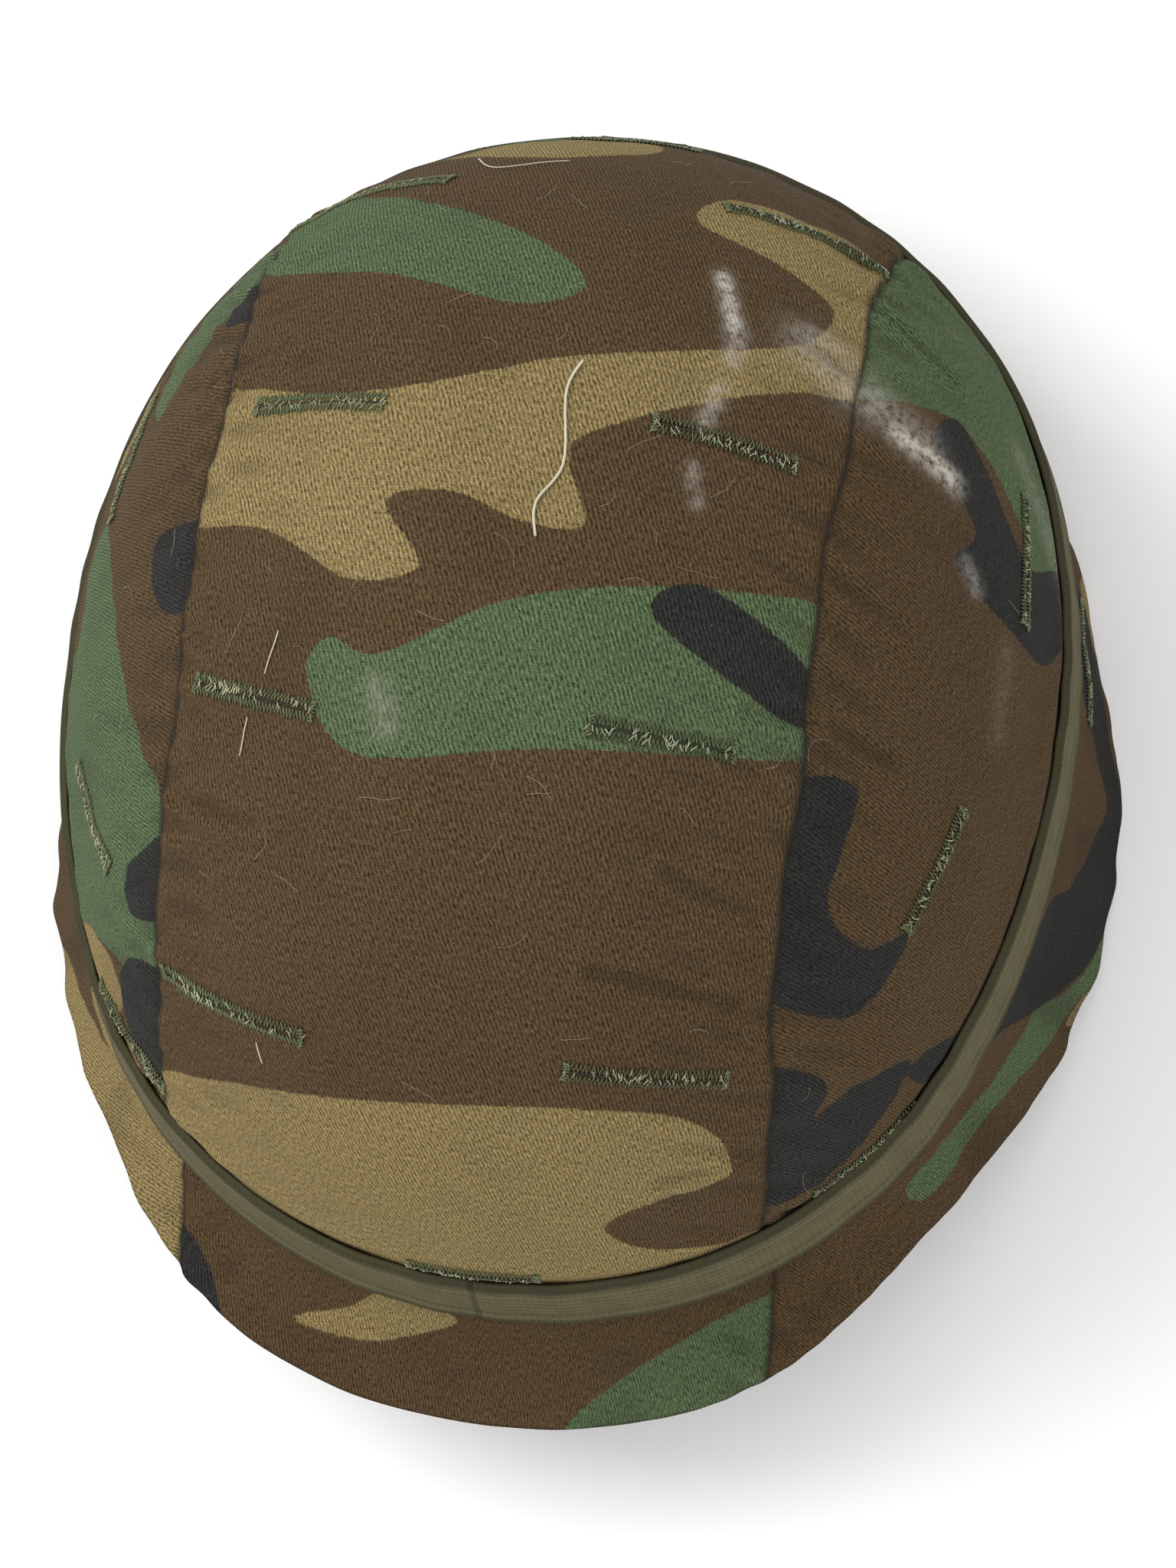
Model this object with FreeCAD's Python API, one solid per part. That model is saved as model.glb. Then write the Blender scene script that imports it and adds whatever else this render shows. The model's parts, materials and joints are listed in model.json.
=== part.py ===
import FreeCAD, Part
import math
import os

# Cloth-covered combat helmet with its suspension, headband, chinstrap and elastic helmet band.
# Units are millimetres and degrees.  +X is the wearer's left, -Y the front, +Z up.
# The origin lies on the floor under the middle of the dome; the rim rests on the floor.

V = FreeCAD.Vector

# ---- outside of the cloth cover: one value per station, from the front round to the rear ----
STATION_STEP = 22.5
DOME_RADIUS = [118.5, 117.0, 112.0, 105.0, 103.5, 109.0, 119.0, 126.5, 129.0]
RIM_RADIUS = [140.5, 138.0, 124.0, 117.5, 115.0, 114.5, 121.5, 132.0, 140.0]
RIM_HEIGHT = [40.0, 42.0, 38.0, 13.0, 1.5, 0.0, 2.5, 2.5, 0.0]
CROWN_HEIGHT = 172.5
DOME_BASE_HEIGHT = 52.0        # widest level of the dome
DOME_ROUNDNESS = 2.0           # 2 is an ellipse from the base to the crown
FLARE_TOP = 58.0               # level where brim and ear flares start to spread
FLARE_CURVE = 2.1
FLARE_DEPTH = 14.0             # anything further in than this follows the dome, not the flares

# ---- layers, measured inward from the outside of the cover ----
COVER_THICKNESS = 0.8
SHELL_OUTSIDE = 1.5
SHELL_INSIDE = 9.1
HEM_OUTSIDE = 9.4
HEM_INSIDE = 10.2
HEM_TURN = 14.0                # how far the cover is turned up inside the rim
EDGING_HEIGHT = 2.5
TAB_GAP = 0.6
TAB_THICKNESS = 1.4
TAB_WIDTH = 25.0
TAB_LENGTH = 30.0
TAB_AZIMUTHS = {"front": 0.0, "front_left": 48.0, "rear_left": 132.0,
                "rear": 180.0, "rear_right": 228.0, "front_right": 312.0}

# ---- cover panels and foliage slits ----
COVER_SHIFT = -5.0             # the cover sits a little toward the wearer's right
PANEL_HALF_WIDTH = 62.5
PANEL_COLUMNS = 24             # steps across and along a panel
PANEL_ROWS = 54
SIDE_COLUMNS = 100
SIDE_CROWDING = 0.85           # how much closer the side panels' columns stand at their ends
PANEL_TIP = 0.6                # degrees left off the side panels' pointed ends
SLICE_CENTER_HEIGHT = 35.0
SLIT_LENGTH = 27.5
SLIT_WIDTH = 5.0
STITCH_BOTTOM = 0.25           # thread beds stand clear of the cloth's faces
STITCH_TOP = 0.55
CROWN_SLIT_OFFSET = 40.5       # slit middle to the middle of the centre panel
CROWN_SLIT_ROWS = [103.0, 44.0, -17.0, -75.0]
END_SLIT_HEIGHT = 84.0         # slits at the front and rear middle, above the band
# side slits: azimuth from the front, height, tilt from level
LEFT_SLITS = [(43.5, 79.5, -11.0), (72.0, 115.5, -7.0), (114.0, 97.0, -15.0),
              (111.0, 18.0, -12.0)]
RIGHT_SLITS = [(-45.0, 86.0, 12.0), (-68.0, 105.0, 28.0), (-114.0, 99.0, 12.0),
               (-112.0, 20.0, 12.0)]

# ---- elastic helmet band ----
BAND_WIDTH = 25.0
BAND_GAP = 1.2
BAND_THICKNESS = 1.3
BAND_HEIGHT = 63.0             # middle of the band above the dome's middle line
BAND_RISE = 5.2                # the band sits higher at the front and lower at the rear
BAND_JOIN_WIDTH = 18.0
BAND_JOIN_THICKNESS = 1.0
BAND_JOIN_GAP = 0.6            # the lapped end is stiff and spans the curve

# ---- suspension ----
ANCHOR_AZIMUTHS = [30.0, 90.0, 150.0, 210.0, 270.0, 330.0]
CLIP_AZIMUTHS = [0.0, 60.0, 120.0, 180.0, 240.0, 300.0]
ANCHOR_HEIGHT = 64.0
SCREW_RADIUS = 2.4
SCREW_HEAD_RADIUS = 5.5
SCREW_HEAD_DEPTH = 1.8
SCREW_LENGTH = 19.5
POST_RADIUS = 5.0
NUT_RADIUS = 6.5
NUT_THICKNESS = 2.0
FIT_CLEARANCE = 0.05
SEAT_GAP = 0.3                 # flat ends stand this far off curved walls
WEB_BAND_OUTSIDE = 16.0
WEB_BAND_INSIDE = 17.4
WEB_BAND_BOTTOM = 52.0
WEB_BAND_TOP = 76.0
CROWN_WEB_WIDTH = 22.0
LACE_RING_RADIUS = 32.0
LACE_RADIUS = 1.6
LACE_DROP = 1.5
HEADBAND_OUTSIDE = 24.5
HEADBAND_INSIDE = 26.5
LINING_INSIDE = 28.0
HEADBAND_BOTTOM = 42.0
HEADBAND_TOP = 76.0
CLIP_WIDTH = 10.0
CLIP_BOTTOM = 60.0
CLIP_TOP = 74.0

# ---- chinstrap: lies flat inside the bowl at rest ----
PIVOT_Y = -22.0
PIVOT_Z = 25.0
PIN_RADIUS = 2.0
PIN_CLEARANCE = 0.06
STRAP_X = 80.0
STRAP_THICKNESS = 1.6
STRAP_WIDTH = 19.0
STRAP_BEND_Y = 32.0            # where the straight legs end and the chin curve starts
STRAP_REACH_Y = 110.0
CHIN_CUP_START_Y = 78.0
CHIN_CUP_THICKNESS = 4.0
LOOP_RADIUS = 5.0
LOOP_WIDTH = 6.0
BRACKET_THICKNESS = 2.0
BRACKET_WIDTH = 14.0
BRACKET_GAP = 2.2              # adhesive between the shell and the bracket foot
BUCKLE_Y = 18.0
BUCKLE_LENGTH = 12.0
BUCKLE_WALL = 2.0
BUCKLE_CLEARANCE = 0.3
SNAP_Y = -6.0
SNAP_RADIUS = 6.0
SNAP_THICKNESS = 1.6
STRAP_DROOP = 5.6              # the chin end hangs down until it nearly touches the floor

BIG = 400.0


# ---------------------------------------------------------------- helmet form

def along(values, azimuth):
    """Smooth value at an azimuth from the front; both sides of the helmet are alike."""
    distance = abs((azimuth + 180.0) % 360.0 - 180.0) / STATION_STEP
    last = len(values) - 1
    start = min(int(distance), last - 1)
    t = distance - start
    before = values[abs(start - 1)]
    here = values[start]
    after = values[start + 1]
    beyond = values[start + 2] if start + 2 <= last else values[last - 1]
    return (here + 0.5 * t * (after - before)
            + 0.5 * t ** 2 * (2 * before - 5 * here + 4 * after - beyond)
            + 0.5 * t ** 3 * (3 * here - before - 3 * after + beyond))


def rim_height(azimuth):
    return max(along(RIM_HEIGHT, azimuth), 0.0)


def dome_radius(azimuth, height, inset):
    power = 2.0 / DOME_ROUNDNESS
    rise = (height - DOME_BASE_HEIGHT) / (CROWN_HEIGHT - inset - DOME_BASE_HEIGHT)
    rise = min(max(rise, 0.0), 1.0)
    level = rise ** (1.0 / power)
    return (along(DOME_RADIUS, azimuth) - inset) * math.sqrt(1.0 - level ** 2) ** power


def form_radius(azimuth, height, inset):
    """Distance of the helmet form from its upright axis."""
    if inset > FLARE_DEPTH:
        return dome_radius(azimuth, height, inset)
    rim = rim_height(azimuth)
    flare = along(RIM_RADIUS, azimuth) - inset - dome_radius(azimuth, rim, inset)
    drop = (FLARE_TOP - height) / (FLARE_TOP - rim)
    drop = min(max(drop, 0.0), 1.0)
    return dome_radius(azimuth, height, inset) + flare * drop ** FLARE_CURVE


def form_point(azimuth, height, inset):
    """Point of the form; the azimuth counts from the front toward the wearer's left."""
    turn = math.radians(azimuth)
    radius = form_radius(azimuth, height, inset)
    return V(radius * math.sin(turn), -radius * math.cos(turn), height)


def crown_point(x, y, inset):
    """Point of the form straight above a place inside the dome."""
    azimuth = math.degrees(math.atan2(x, -y))
    low, high = FLARE_TOP, CROWN_HEIGHT - inset
    for _ in range(40):
        middle = (low + high) / 2
        if form_radius(azimuth, middle, inset) > math.hypot(x, y):
            low = middle
        else:
            high = middle
    return V(x, y, low)


def inward_normal(azimuth, height, inset):
    around = form_point(azimuth + 1.0, height, inset) - form_point(azimuth - 1.0, height, inset)
    upward = form_point(azimuth, height + 1.0, inset) - form_point(azimuth, height - 1.0, inset)
    return upward.cross(around).normalize()


# ---------------------------------------------------------------- solids on the form

def closed_curve(height_at, inset):
    points = [form_point(azimuth, height_at(azimuth), inset) for azimuth in range(0, 360, 6)]
    curve = Part.BSplineCurve()
    curve.interpolate(Points=points, PeriodicFlag=True)
    return Part.Wire(curve.toShape())


def blended(low_at, high_at, share):
    return lambda azimuth: low_at(azimuth) + share * (high_at(azimuth) - low_at(azimuth))


def closed_solid(faces):
    shell = Part.Shell(faces)
    shell.sewShape()
    solid = Part.Solid(shell)
    if solid.Volume < 0:
        solid.reverse()
    return solid


def ring(outside, inside, low_at, high_at, count=4):
    """Wall all round the helmet between two insets and two height functions."""
    faces = []
    ends = []
    for inset in (outside, inside):
        shares = [step / (count - 1) for step in range(count)]
        curves = [closed_curve(blended(low_at, high_at, share), inset) for share in shares]
        faces.extend(Part.makeLoft(curves, False).Faces)
        ends.append((curves[0], curves[-1]))
    for end in (0, 1):
        faces.extend(Part.makeRuledSurface(ends[0][end], ends[1][end]).Faces)
    return closed_solid(faces)


def cap(outside, inside, lift):
    """Wall over the whole helmet, from the rim line raised by lift up to the crown."""
    faces = []
    rims = []
    for inset in (outside, inside):
        curves = []
        for share in (0.0, 0.12, 0.28, 0.5, 0.75, 1.0):
            curves.append(closed_curve(blended(lambda azimuth: rim_height(azimuth) + lift,
                                               lambda azimuth: FLARE_TOP, share), inset))
        crown = CROWN_HEIGHT - inset
        for angle in range(10, 90, 10):
            height = FLARE_TOP + (crown - FLARE_TOP) * math.sin(math.radians(angle))
            curves.append(closed_curve(lambda azimuth: height, inset))
        rims.append(curves[0])
        curves.append(Part.Vertex(V(0, 0, crown)))
        faces.extend(Part.makeLoft(curves, False).Faces)
    faces.extend(Part.makeRuledSurface(rims[0], rims[1]).Faces)
    return closed_solid(faces)


def sheet_solid(outer_grid, inner_grid):
    """Thin solid between two grids of points; each row of a grid lies in one plane."""
    sections = []
    for outer_points, inner_points in zip(outer_grid, inner_grid):
        outer = Part.BSplineCurve()
        outer.interpolate(outer_points)
        inner = Part.BSplineCurve()
        inner.interpolate(inner_points)
        sections.append(Part.Wire([outer.toShape(), Part.makeLine(outer_points[-1], inner_points[-1]),
                                   inner.toShape(), Part.makeLine(inner_points[0], outer_points[0])]))
    return Part.makeLoft(sections, True, True)


def strip(sections):
    """Smooth bar through four-cornered sections."""
    return Part.makeLoft([Part.makePolygon(corners + [corners[0]]) for corners in sections], True)


def upright_strip(azimuth, width, outside, inside, heights):
    """Strip running up the form, of even width, between two insets."""
    sections = []
    for height in heights:
        half = math.degrees(math.asin(width / 2 / form_radius(azimuth, height, inside)))
        sections.append([form_point(azimuth - half, height, outside),
                         form_point(azimuth + half, height, outside),
                         form_point(azimuth + half, height, inside),
                         form_point(azimuth - half, height, inside)])
    return strip(sections)


def rod(azimuth, radius, start, end):
    """Rod square to the wall at the anchor height, between two depths."""
    inward = inward_normal(azimuth, ANCHOR_HEIGHT, 0.0)
    foot = form_point(azimuth, ANCHOR_HEIGHT, 0.0)
    return Part.makeCylinder(radius, end - start, foot + inward * start, inward)


def save(name, shape):
    shape.exportStep(os.path.join("parts", name + ".step"))


# ---------------------------------------------------------------- shell, edging, cover

def rim_azimuth(x, inset, rear):
    """Azimuth where the cover's edge meets a front-to-back plane, at the front or the rear."""
    low, high = (90.0, 180.0) if rear else (90.0, 0.0)
    for _ in range(40):
        middle = (low + high) / 2
        height = rim_height(middle) + COVER_THICKNESS
        if form_point(middle, height, inset).x > abs(x):
            low = middle
        else:
            high = middle
    return math.copysign(low, x)


def slice_point(x, angle, inset):
    """Where a ray in a front-to-back plane leaves the form; the angle counts up from the front."""
    low, high = 40.0, 190.0
    for _ in range(40):
        reach = (low + high) / 2
        y = -reach * math.cos(math.radians(angle))
        z = SLICE_CENTER_HEIGHT + reach * math.sin(math.radians(angle))
        azimuth = math.degrees(math.atan2(x, -y))
        if z < CROWN_HEIGHT - inset and math.hypot(x, y) < form_radius(azimuth, z, inset):
            low = reach
        else:
            high = reach
    return V(x, y, z)


def center_grid(low_x, high_x, inset):
    grid = []
    for column in range(PANEL_COLUMNS + 1):
        x = low_x + (high_x - low_x) * column / PANEL_COLUMNS
        ends = []
        for rear in (False, True):
            azimuth = rim_azimuth(x, inset, rear)
            edge = form_point(azimuth, rim_height(azimuth) + COVER_THICKNESS, inset)
            ends.append(math.degrees(math.atan2(edge.z - SLICE_CENTER_HEIGHT, -edge.y)))
        grid.append([slice_point(x, ends[0] + (ends[1] % 360.0 - ends[0]) * row / PANEL_ROWS, inset)
                     for row in range(PANEL_ROWS + 1)])
    return grid


def side_grid(seam_x, inset):
    """Side panel: from its edge at the rim up to the seam plane, azimuth by azimuth."""
    start = rim_azimuth(seam_x, COVER_THICKNESS, False)
    end = rim_azimuth(seam_x, COVER_THICKNESS, True)
    margin = math.copysign(PANEL_TIP, seam_x)
    grid = []
    for column in range(SIDE_COLUMNS + 1):
        turn = 2 * math.pi * column / SIDE_COLUMNS
        share = (turn - SIDE_CROWDING * math.sin(turn)) / (2 * math.pi)
        azimuth = start + margin + (end - start - 2 * margin) * share
        bottom = rim_height(azimuth) + COVER_THICKNESS
        reach = abs(seam_x / math.sin(math.radians(azimuth)))
        low, high = bottom, CROWN_HEIGHT - inset
        for _ in range(40):
            middle = (low + high) / 2
            if form_radius(azimuth, middle, inset) > reach:
                low = middle
            else:
                high = middle
        grid.append([form_point(azimuth, bottom + (low - bottom) * row / PANEL_COLUMNS, inset)
                     for row in range(PANEL_COLUMNS + 1)])
    return grid


def save_shell_and_cover():
    edge = COVER_THICKNESS + FIT_CLEARANCE
    save("rim_edging", ring(SHELL_OUTSIDE, SHELL_INSIDE, lambda azimuth: rim_height(azimuth) + edge,
                            lambda azimuth: rim_height(azimuth) + edge + EDGING_HEIGHT, 2))
    shell = cap(SHELL_OUTSIDE, SHELL_INSIDE, edge + EDGING_HEIGHT)
    holes = []
    for azimuth in ANCHOR_AZIMUTHS:
        holes.append(rod(azimuth, SCREW_RADIUS + FIT_CLEARANCE, -2.0, SCREW_LENGTH))
        holes.append(rod(azimuth, SCREW_HEAD_RADIUS + FIT_CLEARANCE, -2.0,
                         SHELL_OUTSIDE + SCREW_HEAD_DEPTH + FIT_CLEARANCE))
    save("shell", shell.cut(Part.makeCompound(holes)))

    left_seam = COVER_SHIFT + PANEL_HALF_WIDTH
    right_seam = COVER_SHIFT - PANEL_HALF_WIDTH
    save("cover_panel_center", sheet_solid(center_grid(right_seam, left_seam, 0.0),
                                           center_grid(right_seam, left_seam, COVER_THICKNESS)))
    save("cover_panel_left", sheet_solid(side_grid(left_seam, 0.0),
                                         side_grid(left_seam, COVER_THICKNESS)))
    save("cover_panel_right", sheet_solid(side_grid(right_seam, 0.0),
                                          side_grid(right_seam, COVER_THICKNESS)))

    save("cover_hem", ring(0.0, HEM_INSIDE, rim_height,
                           lambda azimuth: rim_height(azimuth) + COVER_THICKNESS, 2))
    save("cover_turnup", ring(HEM_OUTSIDE, HEM_INSIDE,
                              lambda azimuth: rim_height(azimuth) + COVER_THICKNESS + FIT_CLEARANCE,
                              lambda azimuth: rim_height(azimuth) + HEM_TURN))

    for name, azimuth in TAB_AZIMUTHS.items():
        low = rim_height(azimuth) + HEM_TURN / 2
        heights = [low + step * TAB_LENGTH / 4 for step in range(5)]
        tab = upright_strip(azimuth, TAB_WIDTH, HEM_INSIDE + TAB_GAP,
                            HEM_INSIDE + TAB_GAP + TAB_THICKNESS, heights)
        save("cover_tab_" + name, tab)


def crown_slit(x, y):
    sections = []
    for step in range(5):
        along_x = x + SLIT_LENGTH * (step / 4 - 0.5)
        sections.append([crown_point(along_x, y - SLIT_WIDTH / 2, -STITCH_TOP),
                         crown_point(along_x, y + SLIT_WIDTH / 2, -STITCH_TOP),
                         crown_point(along_x, y + SLIT_WIDTH / 2, -STITCH_BOTTOM),
                         crown_point(along_x, y - SLIT_WIDTH / 2, -STITCH_BOTTOM)])
    return strip(sections)


def side_slit(azimuth, height, tilt):
    sections = []
    reach = form_radius(azimuth, height, 0.0)
    for step in range(5):
        run = SLIT_LENGTH * (step / 4 - 0.5)
        turned = azimuth + math.degrees(run * math.cos(math.radians(tilt)) / reach)
        raised = height + run * math.sin(math.radians(tilt))
        low = raised - SLIT_WIDTH / 2
        high = raised + SLIT_WIDTH / 2
        sections.append([form_point(turned, low, -STITCH_TOP),
                         form_point(turned, high, -STITCH_TOP),
                         form_point(turned, high, -STITCH_BOTTOM),
                         form_point(turned, low, -STITCH_BOTTOM)])
    return strip(sections)


def save_slit_stitching():
    center = []
    for y in CROWN_SLIT_ROWS:
        for side in (-1, 1):
            center.append(crown_slit(COVER_SHIFT + side * CROWN_SLIT_OFFSET, y))
    for azimuth in (0.0, 180.0):
        center.append(side_slit(azimuth, END_SLIT_HEIGHT, 0.0))
    save("slit_stitching_center", Part.makeCompound(center))
    for name, slits in (("left", LEFT_SLITS), ("right", RIGHT_SLITS)):
        bars = [side_slit(azimuth, height, tilt) for azimuth, height, tilt in slits]
        save("slit_stitching_" + name, Part.makeCompound(bars))


def save_helmet_band():
    def middle(azimuth):
        return BAND_HEIGHT + BAND_RISE * math.cos(math.radians(azimuth))

    def bottom(azimuth):
        return middle(azimuth) - BAND_WIDTH / 2

    def top(azimuth):
        return middle(azimuth) + BAND_WIDTH / 2

    outer = -BAND_GAP - BAND_THICKNESS
    save("helmet_band", ring(outer, -BAND_GAP, bottom, top))
    heights = [bottom(180.0) + step * BAND_WIDTH / 4 for step in range(5)]
    save("helmet_band_join", upright_strip(180.0, BAND_JOIN_WIDTH,
                                           outer - BAND_JOIN_GAP - BAND_JOIN_THICKNESS,
                                           outer - BAND_JOIN_GAP, heights))


# ---------------------------------------------------------------- suspension and headband

def save_suspension():
    web_band = ring(WEB_BAND_OUTSIDE, WEB_BAND_INSIDE, lambda azimuth: WEB_BAND_BOTTOM,
                    lambda azimuth: WEB_BAND_TOP)
    bores = [rod(azimuth, SCREW_RADIUS + FIT_CLEARANCE, 0.0, 30.0) for azimuth in ANCHOR_AZIMUTHS]
    save("suspension_band", web_band.cut(Part.makeCompound(bores)))

    web_end = crown_point(LACE_RING_RADIUS, 0.0, WEB_BAND_INSIDE).z
    nuts = []
    for number, azimuth in enumerate(ANCHOR_AZIMUTHS, 1):
        bore = bores[number - 1]
        stem = rod(azimuth, SCREW_RADIUS, SHELL_OUTSIDE + SEAT_GAP, SCREW_LENGTH)
        head = rod(azimuth, SCREW_HEAD_RADIUS, SHELL_OUTSIDE + SEAT_GAP,
                   SHELL_OUTSIDE + SCREW_HEAD_DEPTH)
        save("suspension_screw_%d" % number, stem.fuse(head))
        post = rod(azimuth, POST_RADIUS, SHELL_INSIDE + SEAT_GAP, WEB_BAND_OUTSIDE - SEAT_GAP)
        save("suspension_post_%d" % number, post.cut(bore))
        nut = rod(azimuth, NUT_RADIUS, WEB_BAND_INSIDE + SEAT_GAP,
                  WEB_BAND_INSIDE + SEAT_GAP + NUT_THICKNESS)
        nuts.append(nut.cut(bore))

        rise = web_end - WEB_BAND_TOP
        heights = [WEB_BAND_TOP + rise * math.sin(math.radians(step * 15.0)) for step in range(7)]
        save("crown_web_%d" % number, upright_strip(azimuth, CROWN_WEB_WIDTH, WEB_BAND_OUTSIDE,
                                                    WEB_BAND_INSIDE, heights))
    save("suspension_nuts", Part.makeCompound(nuts))
    save("crown_lace", Part.makeTorus(LACE_RING_RADIUS, LACE_RADIUS,
                                      V(0, 0, web_end - LACE_RADIUS - LACE_DROP)))


def save_headband():
    def bottom(azimuth):
        return HEADBAND_BOTTOM

    def top(azimuth):
        return HEADBAND_TOP

    save("headband", ring(HEADBAND_OUTSIDE, HEADBAND_INSIDE, bottom, top))
    save("headband_lining", ring(HEADBAND_INSIDE + FIT_CLEARANCE, LINING_INSIDE, bottom, top))
    heights = [CLIP_BOTTOM, (CLIP_BOTTOM + CLIP_TOP) / 2, CLIP_TOP]
    for number, azimuth in enumerate(CLIP_AZIMUTHS, 1):
        save("headband_clip_%d" % number, upright_strip(
            azimuth, CLIP_WIDTH, WEB_BAND_INSIDE + SEAT_GAP, HEADBAND_OUTSIDE - SEAT_GAP, heights))


# ---------------------------------------------------------------- chinstrap

def strap_outline(half_width, reach):
    """Flat face of a U: two straight legs and half an ellipse round the chin."""
    depth = reach - STRAP_BEND_Y
    legs = Part.makePlane(2 * half_width, STRAP_BEND_Y - PIVOT_Y, V(-half_width, PIVOT_Y, 0))
    major, minor = max(half_width, depth), min(half_width, depth)
    ellipse = Part.Ellipse(V(0, STRAP_BEND_Y, 0), major, minor)
    if depth > half_width:
        ellipse.rotate(FreeCAD.Placement(V(0, 0, 0), V(0, 0, 1), 90, V(0, STRAP_BEND_Y, 0)))
    curve = Part.Face(Part.Wire(ellipse.toShape()))
    return curve.fuse(legs).removeSplitter()


def strap_ring(outside, thickness, width):
    """Standing strap of the given thickness, centred on the pivot height."""
    outer = strap_outline(STRAP_X + outside, STRAP_REACH_Y + outside)
    inner = strap_outline(STRAP_X + outside - thickness, STRAP_REACH_Y + outside - thickness)
    ring = outer.extrude(V(0, 0, width)).cut(inner.extrude(V(0, 0, width)))
    open_end = Part.makeBox(BIG, BIG, width, V(-BIG / 2, PIVOT_Y - BIG, 0))
    ring = ring.cut(open_end)
    ring.translate(V(0, 0, PIVOT_Z - width / 2))
    return ring


def save_hung(name, shape):
    """Save a chinstrap piece, turned about the pivot to its resting droop."""
    hung = shape.copy()
    hung.rotate(V(0, PIVOT_Y, PIVOT_Z), V(1, 0, 0), -STRAP_DROOP)
    save(name, hung)


def save_chinstrap():
    strap = strap_ring(STRAP_THICKNESS / 2, STRAP_THICKNESS, STRAP_WIDTH)
    cup_zone = Part.makeBox(BIG, BIG, BIG, V(-BIG / 2, CHIN_CUP_START_Y, -BIG / 2))
    cup = strap_ring(CHIN_CUP_THICKNESS / 2, CHIN_CUP_THICKNESS, STRAP_WIDTH + 3.0)
    save_hung("chin_cup", cup.common(cup_zone))
    strap = strap.cut(cup_zone)

    for name, side in (("left", 1), ("right", -1)):
        half = Part.makeBox(BIG, BIG, BIG, V(0 if side == 1 else -BIG, -BIG / 2, -BIG / 2))
        loop_room = Part.makeBox(20.0, 2 * LOOP_RADIUS + 2.0, STRAP_WIDTH + 2.0,
                                 V(side * STRAP_X - 10.0, PIVOT_Y - LOOP_RADIUS - 2.0,
                                   PIVOT_Z - STRAP_WIDTH / 2 - 1.0))
        save_hung("chinstrap_web_" + name, strap.common(half).cut(loop_room))

        loop_start = V(side * STRAP_X - LOOP_WIDTH / 2, PIVOT_Y, PIVOT_Z)
        loop = Part.makeCylinder(LOOP_RADIUS, LOOP_WIDTH, loop_start, V(1, 0, 0))
        tongue = Part.makeBox(LOOP_WIDTH, LOOP_RADIUS, 2 * LOOP_RADIUS,
                              V(loop_start.x, PIVOT_Y, PIVOT_Z - LOOP_RADIUS))
        bore = Part.makeCylinder(PIN_RADIUS + PIN_CLEARANCE, LOOP_WIDTH, loop_start, V(1, 0, 0))
        save_hung("chinstrap_loop_" + name, loop.fuse(tongue).cut(bore).removeSplitter())

        # bracket against the inside wall, with the pin reaching through the strap loop
        azimuth = math.degrees(math.atan2(STRAP_X, -PIVOT_Y - BRACKET_WIDTH / 2))
        wall = form_point(azimuth, PIVOT_Z + 22.0, SHELL_INSIDE).x - BRACKET_GAP
        plate = Part.makeBox(BRACKET_THICKNESS, BRACKET_WIDTH, 30.0,
                             V(STRAP_X + LOOP_WIDTH / 2 + 0.6, PIVOT_Y - BRACKET_WIDTH / 2,
                               PIVOT_Z - 8.0))
        pin = Part.makeCylinder(PIN_RADIUS, LOOP_WIDTH + 2.6,
                                V(STRAP_X - LOOP_WIDTH / 2 - 2.0, PIVOT_Y, PIVOT_Z), V(1, 0, 0))
        pin_head = Part.makeCylinder(PIN_RADIUS + 1.5, 1.4,
                                     V(STRAP_X - LOOP_WIDTH / 2 - 2.0, PIVOT_Y, PIVOT_Z),
                                     V(1, 0, 0))
        plate_x = STRAP_X + LOOP_WIDTH / 2 + 0.6
        foot = Part.makeBox(wall - plate_x, BRACKET_WIDTH, 8.0,
                            V(plate_x, PIVOT_Y - BRACKET_WIDTH / 2, PIVOT_Z + 14.0))
        bracket = plate.fuse([pin, pin_head, foot])
        if side == -1:
            bracket = bracket.mirror(V(0, 0, 0), V(1, 0, 0))
        save("chinstrap_bracket_" + name, bracket.removeSplitter())

        gap = BUCKLE_CLEARANCE
        outer = Part.makeBox(STRAP_THICKNESS + 2 * gap + 2 * BUCKLE_WALL, BUCKLE_LENGTH,
                             STRAP_WIDTH + 2 * gap + 2 * BUCKLE_WALL)
        slot = Part.makeBox(STRAP_THICKNESS + 2 * gap, BUCKLE_LENGTH, STRAP_WIDTH + 2 * gap,
                            V(BUCKLE_WALL, 0, BUCKLE_WALL))
        buckle = outer.cut(slot)
        buckle.translate(V(side * STRAP_X - STRAP_THICKNESS / 2 - gap - BUCKLE_WALL,
                           BUCKLE_Y - BUCKLE_LENGTH / 2,
                           PIVOT_Z - STRAP_WIDTH / 2 - gap - BUCKLE_WALL))
        save_hung("adjuster_buckle_" + name, buckle)

    outer_face = STRAP_X + STRAP_THICKNESS / 2
    inner_face = outer_face - STRAP_THICKNESS
    save_hung("snap_cap", Part.makeCylinder(SNAP_RADIUS, SNAP_THICKNESS,
                                            V(outer_face, SNAP_Y, PIVOT_Z), V(1, 0, 0)))
    save_hung("snap_stud", Part.makeCylinder(SNAP_RADIUS - 1.5, SNAP_THICKNESS,
                                             V(inner_face, SNAP_Y, PIVOT_Z), V(-1, 0, 0)))


os.makedirs("parts", exist_ok=True)
save_shell_and_cover()
save_slit_stitching()
save_helmet_band()
save_suspension()
save_headband()
save_chinstrap()
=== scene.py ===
import json
import math
import random

import bmesh
import bpy
import numpy as np
from mathutils import Matrix, Vector
from mathutils.bvhtree import BVHTree


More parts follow.
